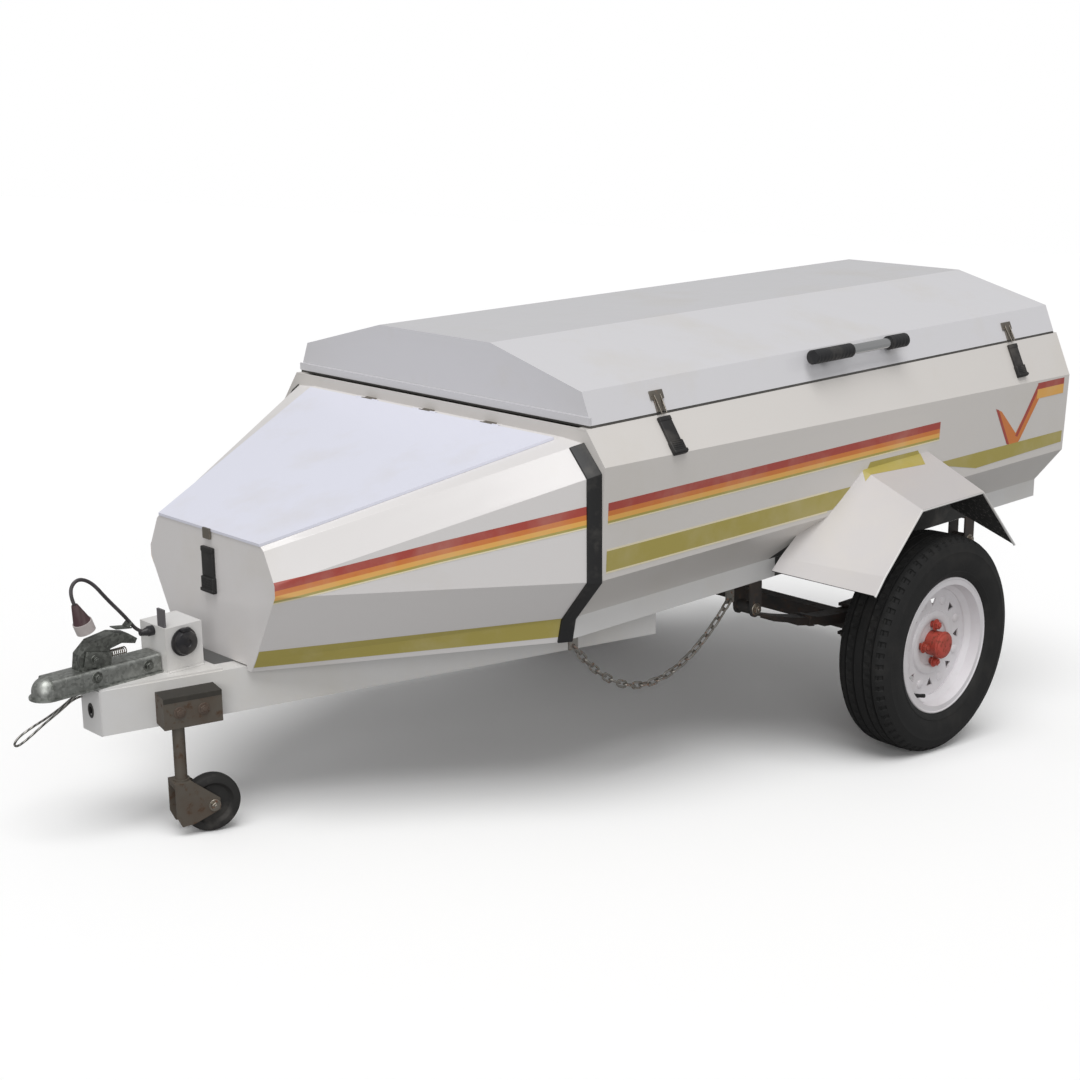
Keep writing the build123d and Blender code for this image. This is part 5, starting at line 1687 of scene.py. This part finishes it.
@dataclass
class SpringFittings:
    """U-bolt nuts, eye bolts and rebound clips of the leaf springs."""

    spring_y: float = 0.463
    bolt_x: float = 0.026
    bolt_y: float = 0.0285
    foot_z: float = 0.261
    eye_x: float = 0.470
    eye_z: float = 0.4379
    hanger_out: float = 0.0285
    clip_x: float = 0.235
    main_top: float = 0.341
    leaf_radius: float = 1.3
    leaf_width: float = 0.045
    nut: Flat = (0.017, 0.008)
    eye_bolt: Flat = (0.019, 0.008)
    clip_drop: float = 0.009
    clip_bars: Flat = (0.0105, -0.0125)
    clip_bar: Point = (0.022, 0.053, 0.003)
    clip_cheek: Point = (0.022, 0.003, 0.026)
    clip_rounding: float = 0.0008
    cheek_gap: float = 0.0022
    cheek_drop: float = 0.001

    def build(self) -> bpy.types.Object:
        """Make the fittings of both springs.

        Returns:
            The fittings.
        """
        mesh = bmesh.new()
        for side in Side:
            middle = side.value * self.spring_y
            for fore in (1, -1):
                for across in (1, -1):
                    nut = (fore * self.bolt_x, middle + across * self.bolt_y, self.foot_z)
                    add_bolt(mesh, nut, (0, 0, -1), *self.nut, 1)
                    eye = (fore * self.eye_x, middle + across * self.hanger_out, self.eye_z)
                    add_bolt(mesh, eye, (0, across, 0), *self.eye_bolt, 1)
                rise = self.leaf_radius - math.sqrt(self.leaf_radius**2 - self.clip_x**2)
                slope = math.degrees(math.asin(self.clip_x / self.leaf_radius))
                height = self.main_top + rise - self.clip_drop
                clip = tilted((fore * self.clip_x, middle, height), -fore * slope)
                for level in self.clip_bars:
                    bar = clip @ Matrix.Translation((0, 0, level))
                    add_block(mesh, bar, self.clip_bar, self.clip_rounding)
                for across in (1, -1):
                    reach = across * (self.leaf_width / 2 + self.cheek_gap)
                    cheek = clip @ Matrix.Translation((0, reach, -self.cheek_drop))
                    add_block(mesh, cheek, self.clip_cheek, self.clip_rounding)
        return settle(
            "spring_fittings", mesh, [AXLE_BLACK, BOLT_STEEL], "chassis"
        )


@dataclass
class CouplingFittings:
    """Pins, spring, catch and mounting bolts of the ball coupling."""

    deck: float = 0.513
    half_width: float = 0.031
    height: float = 0.042
    pins: tuple[Flat, ...] = ((2.064, 0.026), (1.94, 0.022))
    pin_head: Flat = (0.015, 0.007)
    cheek: Point = (2.052, 0.0195, 0.017)
    cheek_size: Point = (0.064, 0.003, 0.034)
    pivot: Point = (2.060, 0.021, 0.020)
    pivot_head: Flat = (0.012, 0.005)
    catch: Point = (1.982, 0, 0.069)
    catch_size: Point = (0.040, 0.026, 0.003)
    lip: Point = (1.9655, 0, 0.073)
    lip_size: Point = (0.014, 0.026, 0.003)
    cheek_tilt: float = -14.0
    catch_tilt: float = -9.0
    lip_tilt: float = 40.0
    rounding: float = 0.0012
    spring_x: float = 1.975
    spring_foot: float = 0.0105
    spring_radius: float = 0.007
    spring_wire: float = 0.0013
    spring_turns: int = 9
    spring_steps: int = 126
    spring_rise: float = 0.00034
    gland_foot: Point = (1.913, 0, 0.600)
    gland: tuple[Flat, ...] = (
        (-0.008, 0.0),
        (-0.008, 0.0112),
        (0.004, 0.0112),
        (0.006, 0.0092),
        (0.011, 0.0086),
        (0.012, 0.0078),
        (0.017, 0.0074),
        (0.018, 0.0068),
        (0.024, 0.0062),
        (0.024, 0.0),
    )

    def over_top(self, place: Point, across: int = 1) -> Point:
        """A place given over the coupling's top, on one of its sides."""
        return (place[0], across * place[1], self.deck + self.height + place[2])

    def levers(self) -> bmesh.types.BMesh:
        """Make the pins, the lever's cheeks and its catch.

        Returns:
            The fittings.
        """
        mesh = bmesh.new()
        for across in (1, -1):
            for x, rise in self.pins:
                head = (x, across * self.half_width, self.deck + rise)
                add_bolt(mesh, head, (0, across, 0), *self.pin_head)
            cheek = tilted(self.over_top(self.cheek, across), self.cheek_tilt)
            add_block(mesh, cheek, self.cheek_size, self.rounding)
            pivot = self.over_top(self.pivot, across)
            add_bolt(mesh, pivot, (0, across, 0), *self.pivot_head)
        catch = tilted(self.over_top(self.catch), self.catch_tilt)
        add_block(mesh, catch, self.catch_size, self.rounding)
        lip = tilted(self.over_top(self.lip), self.lip_tilt)
        add_block(mesh, lip, self.lip_size, self.rounding)
        return mesh

    def coil(self) -> bmesh.types.BMesh:
        """Wind the latch's spring.

        Returns:
            The spring.
        """
        mesh = bmesh.new()
        start = self.over_top((self.spring_x, 0, self.spring_foot))
        middle = self.over_top((self.spring_x, 0, self.spring_foot + self.spring_radius))
        bmesh.ops.create_circle(
            mesh,
            cap_ends=True,
            segments=8,
            radius=self.spring_wire,
            matrix=tilted(start, 90, "X"),
        )
        bmesh.ops.spin(
            mesh,
            geom=mesh.verts[:] + mesh.edges[:] + mesh.faces[:],
            cent=middle,
            axis=(1, 0, 0),
            dvec=(self.spring_rise, 0, 0),
            angle=math.tau * self.spring_turns,
            steps=self.spring_steps,
        )
        bmesh.ops.recalc_face_normals(mesh, faces=mesh.faces)
        return mesh

    def build(self) -> None:
        """Make the fittings of the coupling."""
        settle("coupling_fittings", self.levers(), [GALVANISED_DULL], "chassis")
        settle("latch_spring", self.coil(), [BOLT_STEEL], "chassis")
        gland = bmesh.new()
        add_turned(gland, self.gland, self.gland_foot, (1, 0, 0), 28, closed=False)
        settle("lead_strain_relief", gland, [SOCKET_PLASTIC], "chassis")


@dataclass
class SocketTrim:
    """The round lead socket's flange and hinged lid, on the left of the block."""

    centre: Point = (1.862, 0.064, 0.576)
    lid: tuple[Flat, ...] = (
        (-0.013, 0.0262),
        (-0.013, 0.0310),
        (-0.009, 0.0318),
        (-0.008, 0.0275),
        (0.0, 0.0268),
        (0.004, 0.0250),
        (0.0062, 0.0200),
        (0.0070, 0.0090),
        (0.0045, 0.0075),
        (0.0045, 0.0),
    )
    hinge: Point = (0.022, 0.012, 0.008)
    hinge_place: Point = (0, -0.002, 0.029)
    hinge_rounding: float = 0.002

    def build(self) -> bpy.types.Object:
        """Make the socket's trim.

        Returns:
            The trim.
        """
        mesh = bmesh.new()
        add_turned(mesh, self.lid, self.centre, (0, 1, 0), 40, closed=False)
        hinge = Matrix.Translation(Vector(self.centre) + Vector(self.hinge_place))
        add_block(mesh, hinge, self.hinge, self.hinge_rounding)
        return settle("socket_lid", mesh, [SOCKET_PLASTIC], "chassis")


@dataclass
class RubberLatch:
    """A pull-down rubber latch: a strap with ribs, a thick foot and a finger tab."""

    top: Point
    down: Point
    out: Point
    length: float = 0.092
    width: float = 0.042
    thickness: float = 0.011
    rounding: float = 0.002
    head: float = 0.012
    rib_count: int = 5
    rib_first: float = 0.70
    rib_pitch: float = 0.055
    rib: Flat = (0.0022, 0.0016)
    rib_rounding: float = 0.0004
    tab_reach: float = 0.008

    def add_to(self, mesh: bmesh.types.BMesh) -> None:
        """Add the latch to a mesh.

        Args:
            mesh: The mesh it goes into.
        """
        down = Vector(self.down).normalized()
        out = Vector(self.out).normalized()
        across = down.cross(out)
        turn = Matrix((across, down, out)).transposed().to_4x4()
        own = bmesh.new()
        # Head, strap and foot: middle, reach, share of the width, share of the thickness
        parts = (
            (0.0, self.head, 0.94, 0.85),
            (self.length * 0.38, self.length * 0.68, 0.92, 0.74),
            (self.length * 0.80, self.length * 0.36, 1.0, 1.0),
        )
        for middle, reach, wide, thick in parts:
            height = self.thickness * thick
            place = Matrix.Translation((0, middle + self.head / 2, height / 2))
            add_block(own, place, (self.width * wide, reach, height), self.rounding, 3)
        for count in range(self.rib_count):
            along = self.length * (self.rib_first + self.rib_pitch * count)
            place = Matrix.Translation((0, along, self.thickness + self.rib_rounding))
            add_block(own, place, (self.width * 0.8, *self.rib), self.rib_rounding, 1)
        tip = Matrix.Translation((0, self.length * 0.98, self.thickness * 0.85))
        tab = (self.width * 1.04, self.tab_reach, self.thickness * 0.8)
        add_block(own, tip, tab, self.rounding, 3)
        bmesh.ops.transform(
            own, matrix=Matrix.Translation(Vector(self.top)) @ turn, verts=own.verts
        )
        merge_in(mesh, own)


@dataclass
class LatchSet:
    """The two side latches and the locker's latch, below the edges of the lids."""

    edge: Flat = (0.530, 0.998)
    feet: tuple[Point, ...] = ((0.870, 0.5871, 0.9161), (-0.560, 0.5819, 0.8870))
    gap: float = 0.008
    lift: float = 0.0004
    locker_face: float = 1.7503
    locker_top: float = 0.757
    locker_length: float = 0.100
    locker_width: float = 0.046

    def sides(self) -> bmesh.types.BMesh:
        """Make the side latches, each leaning from the lid's edge to its foot.

        Returns:
            Both latches.
        """
        mesh = bmesh.new()
        for x, foot_y, foot_z in self.feet:
            down = Vector((0, foot_y - self.edge[0], foot_z - self.edge[1])).normalized()
            out = Vector((0, -down.z, down.y))
            top = Vector((x, *self.edge)) + down * self.gap + out * self.lift
            RubberLatch(tuple(top), tuple(down), tuple(out)).add_to(mesh)
        return mesh

    def locker(self) -> bmesh.types.BMesh:
        """Make the locker's latch, upright in front of its CAD node.

        Returns:
            The latch.
        """
        low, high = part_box("nose_latch")
        middle = LEVEL @ ((low + high) / 2)
        mesh = bmesh.new()
        latch = RubberLatch(
            (self.locker_face, middle.y, self.locker_top),
            (0, 0, -1),
            (1, 0, 0),
            length=self.locker_length,
            width=self.locker_width,
        )
        latch.add_to(mesh)
        return mesh

    def build(self) -> None:
        """Make the side latches and the locker's latch."""
        for name, mesh, node in (
            ("rubber_side_latches", self.sides(), "side_latches"),
            ("rubber_locker_latch", self.locker(), "nose_latch"),
        ):
            piece = settle(name, mesh, [LATCH_RUBBER], "chassis")
            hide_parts(node)


@dataclass
class KeeperPlates:
    """The pressed T plates above the side latches' keepers, each with two rivets."""

    stations: tuple[float, float] = (0.870, -0.560)
    face_top: Flat = (0.500, 1.076)
    face_foot: Flat = (0.530, 1.004)
    rise: float = 0.040
    plate: Point = (0.044, 0.022, 0.0035)
    rivet_x: float = 0.016
    rivet: tuple[Flat, ...] = ((-0.0005, 0.0034), (0.0009, 0.0030), (0.0018, 0.0))
    wire: float = 0.0016
    wire_half: Flat = (0.010, 0.008)
    wire_out: Flat = (0.003, 0.009)
    wire_drop: float = 0.046

    def build(self) -> bpy.types.Object:
        """Make the plates.

        Returns:
            The plates.
        """
        mesh = bmesh.new()
        foot = Vector((0, *self.face_foot))
        up = (Vector((0, *self.face_top)) - foot).normalized()
        out = Vector((0, up.z, -up.y))
        turn = Matrix((Vector((1, 0, 0)), up, -out)).transposed().to_4x4()
        for x in self.stations:
            middle = foot + up * self.rise + out * (0.0005 + self.plate[2] / 2)
            middle.x = x
            add_block(mesh, Matrix.Translation(middle) @ turn, self.plate, 0.0012)
            for across in (1, -1):
                head = middle + Vector((across * self.rivet_x, 0, 0)) + out * self.plate[2] / 2
                add_turned(mesh, self.rivet, head, out, 14, closed=False)
            upper, lower = (middle + out * reach for reach in self.wire_out)
            lower -= up * self.wire_drop
            wide, narrow = (Vector((half, 0, 0)) for half in self.wire_half)
            loop = (upper + wide, lower + narrow, lower - narrow, upper - wide)
            add_rod(mesh, [tuple(point) for point in loop], self.wire)
        return settle("keeper_plates", mesh, [KEEPER_STEEL], "load_lid")


@dataclass
class SeamStrip:
    """The rubber strip over the joint of nose and body, with its corners rounded."""

    rounding: float = 0.016
    edge_rounding: float = 0.0014
    folds: Flat = (10.0, 75.0)
    square: float = 80.0

    def build(self) -> bpy.types.Object:
        """Round the outer corners of a copy of the strip.

        Returns:
            The strip.
        """
        mesh = bmesh.new()
        mesh.from_mesh(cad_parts["seam_strip"].data)
        bmesh.ops.transform(mesh, matrix=LEVEL, verts=mesh.verts)
        bmesh.ops.remove_doubles(mesh, verts=mesh.verts, dist=1e-5)
        bmesh.ops.dissolve_limit(
            mesh, angle_limit=math.radians(1), verts=mesh.verts[:], edges=mesh.edges[:]
        )
        corners = []
        least, most = self.folds
        for edge in mesh.edges:
            run = edge.verts[1].co - edge.verts[0].co
            turn = math.degrees(edge.calc_face_angle(0))
            if abs(run.normalized().x) > 0.95 and least < turn < most and edge.is_convex:
                corners.append(edge)
        round_edges(mesh, corners, self.rounding, 5)
        mesh.normal_update()
        square = math.radians(self.square)
        rims = [e for e in mesh.edges if e.calc_face_angle(0) > square and e.is_convex]
        round_edges(mesh, rims, self.edge_rounding, 2)
        strip = settle("rounded_seam_strip", mesh, [STRIP_RUBBER], "chassis")
        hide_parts("seam_strip")
        return strip


@dataclass
class RearTrim:
    """Tail lamps with base, lens and screws, and the blank plate's rim and bolts."""

    rear_x: float = -0.803
    lamp_y: float = 0.410
    lamp_z: float = 0.715
    lamp: Point = (0.026, 0.110, 0.055)
    plate_z: float = 0.650
    plate: Flat = (0.440, 0.112)
    base: float = 0.008
    base_margin: float = 0.008
    base_rounding: float = 0.003
    lens_margin: float = 0.004
    lens_rounding: float = 0.007
    screw_in: float = 0.014
    screw_sunk: float = 0.0008
    screw: tuple[Flat, ...] = ((0.0, 0.0038), (0.0012, 0.0034), (0.0020, 0.0))
    rim_edge: float = 0.006
    rim_rounding: float = 0.0015
    rim_out: float = 0.004
    plate_bolt_y: float = 0.15
    plate_bolt_out: float = 0.003
    plate_bolt_rise: float = 0.36
    plate_bolt: Flat = (0.009, 0.004)

    def build(self) -> None:
        """Make the rear trim."""
        mesh = bmesh.new()
        depth, length, height = self.lamp
        for side in (1, -1):
            y = side * self.lamp_y
            base = Matrix.Translation((self.rear_x - self.base / 2, y, self.lamp_z))
            back = (self.base, length + self.base_margin, height + self.base_margin)
            add_block(mesh, base, back, self.base_rounding)
            thick = depth - self.base
            lens = Matrix.Translation((self.rear_x - self.base - thick / 2, y, self.lamp_z))
            glass = (thick, length - self.lens_margin, height - self.lens_margin)
            add_block(mesh, lens, glass, self.lens_rounding, 4, 1)
            for across in (1, -1):
                reach = across * (length / 2 - self.screw_in)
                screw = (self.rear_x - depth + self.screw_sunk, y + reach, self.lamp_z)
                add_turned(mesh, self.screw, screw, (-1, 0, 0), 16, closed=False, index=2)
        lamps = settle(
            "tail_lamp_units", mesh, [STRIP_RUBBER, LENS_RED, BOLT_STEEL], "chassis"
        )
        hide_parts("tail_lamps")
        rim = bmesh.new()
        wide, high = self.plate
        edge = self.rim_edge
        rim_x = self.rear_x - self.rim_out
        bolt_x = self.rear_x - self.plate_bolt_out
        bolt_z = self.plate_z + high * self.plate_bolt_rise
        for across in (1, -1):
            bar = Matrix.Translation((rim_x, across * wide / 2, self.plate_z))
            add_block(rim, bar, (edge, edge, high + edge), self.rim_rounding)
            bar = Matrix.Translation((rim_x, 0, self.plate_z + across * high / 2))
            add_block(rim, bar, (edge, wide + edge, edge), self.rim_rounding)
            bolt = (bolt_x, across * self.plate_bolt_y, bolt_z)
            add_bolt(rim, bolt, (-1, 0, 0), *self.plate_bolt, 1)
        settle("plate_rim", rim, [STRIP_RUBBER, BOLT_STEEL], "chassis")


@dataclass
class JockeyTrim:
    """Bolts of the jockey's bracket and yoke, dark films of painted shade with some road grime
    along the bracket's top, and its solid roller with a turned hub.
    """

    bracket_x: float = 1.888
    leg_half: float = 0.0835
    pivot_z: float = 0.451
    splay: float = 0.26
    depth: float = 0.056
    bracket: Flat = (0.130, 0.070)
    film: float = 0.0006
    film_drop: float = 0.011
    forward: float = 0.030
    rear_bolt: float = -0.0234
    bracket_bolt: Flat = (0.016, 0.004)
    yoke_nut: Flat = (0.016, 0.007)
    stem_out: float = 0.037
    trail: float = 0.063
    drop: float = 0.222
    radius: float = 0.065
    tread_half: float = 0.0045
    half_width: float = 0.017
    play: float = 0.003
    fork: float = 0.006
    rivet: tuple[Flat, ...] = ((-0.0005, 0.0078), (0.0008, 0.0070), (0.0014, 0.0))
    section: tuple[Flat, ...] = (
        (0.0180, 0.0066),
        (0.0180, 0.0150),
        (0.0120, 0.0175),
        (0.0095, 0.0400),
        (0.0125, 0.0440),
        (0.0168, 0.0470),
        (0.0170, 0.0560),
        (0.0150, 0.0615),
        (0.0105, 0.0642),
    )

    def build(self) -> None:
        """Make the bolts and the roller."""
        angle = math.atan(self.splay)
        ahead = Vector((math.cos(angle), -math.sin(angle), 0))
        out = Vector((math.sin(angle), math.cos(angle), 0))
        back = Vector((self.bracket_x, self.leg_half, self.pivot_z))
        bolts = bmesh.new()
        for place in (self.forward, self.rear_bolt):
            add_bolt(bolts, back + ahead * place + out * self.depth, out, *self.bracket_bolt)
        turn = Matrix((ahead, out, Vector((0, 0, 1)))).transposed().to_4x4()
        # Dark films over the bracket's top face and the top strip of its front face: painted shade
        # with some road grime
        length, height = self.bracket
        film = self.film
        face = back + out * (self.depth + film / 2)
        face.z += (height - self.film_drop) / 2
        front = Matrix.Translation(face) @ turn
        add_block(bolts, front, (length, film, self.film_drop), film / 3, 1, 1)
        crown = back + out * self.depth / 2
        crown.z += (height + film) / 2
        top = Matrix.Translation(crown) @ turn
        add_block(bolts, top, (length, self.depth, film), film / 3, 1, 1)
        settle("bracket_bolts", bolts, [RUSTED_BOLTS, BRACKET_SHADE_AND_GRIME], "chassis")
        axle = back + ahead * (self.forward - self.trail) + out * self.stem_out
        axle.z -= self.drop
        yoke = bmesh.new()
        reach = self.half_width + self.play + self.fork
        add_bolt(yoke, axle + out * reach, out, *self.yoke_nut)
        add_turned(yoke, self.rivet, axle - out * reach, -out, 20, closed=False)
        settle("yoke_nuts", yoke, [BOLT_STEEL], "jockey_castor")
        roller = bmesh.new()
        half = [*self.section, (self.tread_half, self.radius)]
        outline = half + [(-along, radius) for along, radius in reversed(half)]
        add_turned(roller, outline, axle, out, 64)
        piece = settle("solid_roller", roller, [ROLLER_RUBBER], "jockey_roller")
        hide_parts("jockey_wheel")


@dataclass
class DrawbarTrim:
    """The oval grommet round the hole in the drawbar's cap, and two weld beads on the deck."""

    cap_x: float = 2.063
    cap_z: float = 0.458
    oval: float = 1.5
    grommet: tuple[Flat, ...] = (
        (0.0004, 0.0062),
        (0.0052, 0.0066),
        (0.0064, 0.0086),
        (0.0052, 0.0112),
        (0.0042, 0.0112),
        (0.0040, 0.0088),
        (0.0004, 0.0088),
    )
    weld_x: Flat = (1.815, 1.903)
    weld_y: float = 0.052
    weld_z: float = 0.514
    weld: float = 0.0028

    def build(self) -> bpy.types.Object:
        """Make the grommet and the welds.

        Returns:
            The trim.
        """
        mesh = bmesh.new()
        verts = add_turned(mesh, self.grommet, (0, 0, 0), (1, 0, 0), 32)
        place = Matrix.Translation((self.cap_x, 0, self.cap_z))
        oval = place @ Matrix.Diagonal((1, 1, self.oval, 1))
        bmesh.ops.transform(mesh, matrix=oval, verts=verts)
        for side in (1, -1):
            points = [(x, side * self.weld_y, self.weld_z) for x in self.weld_x]
            add_rod(mesh, points, self.weld, index=1)
        return settle(
            "drawbar_trim", mesh, [STRIP_RUBBER, WHITE_CHASSIS], "chassis"
        )


def main() -> None:
    """Build the studio and the pieces in order."""
    logging.basicConfig(level=logging.INFO, format="%(name)s: %(message)s")
    Studio().build()
    TRAILER_LEAD.build()
    SAFETY_ROPE.build()
    dress_nodes()
    for side in Side:
        for tapes in (BODY_TAPES, NOSE_TAPES, FENDER_TAPES, *ARCH_COATS):
            tapes.build(side)
        RoadTyre().build(side)
        WheelTrim().build(side)
        FenderBead().build(side)
    HangingChain().build()
    SpringFittings().build()
    CouplingFittings().build()
    SocketTrim().build()
    LatchSet().build()
    KeeperPlates().build()
    SeamStrip().build()
    RearTrim().build()
    JockeyTrim().build()
    DrawbarTrim().build()


if __name__ == "__main__":
    main()
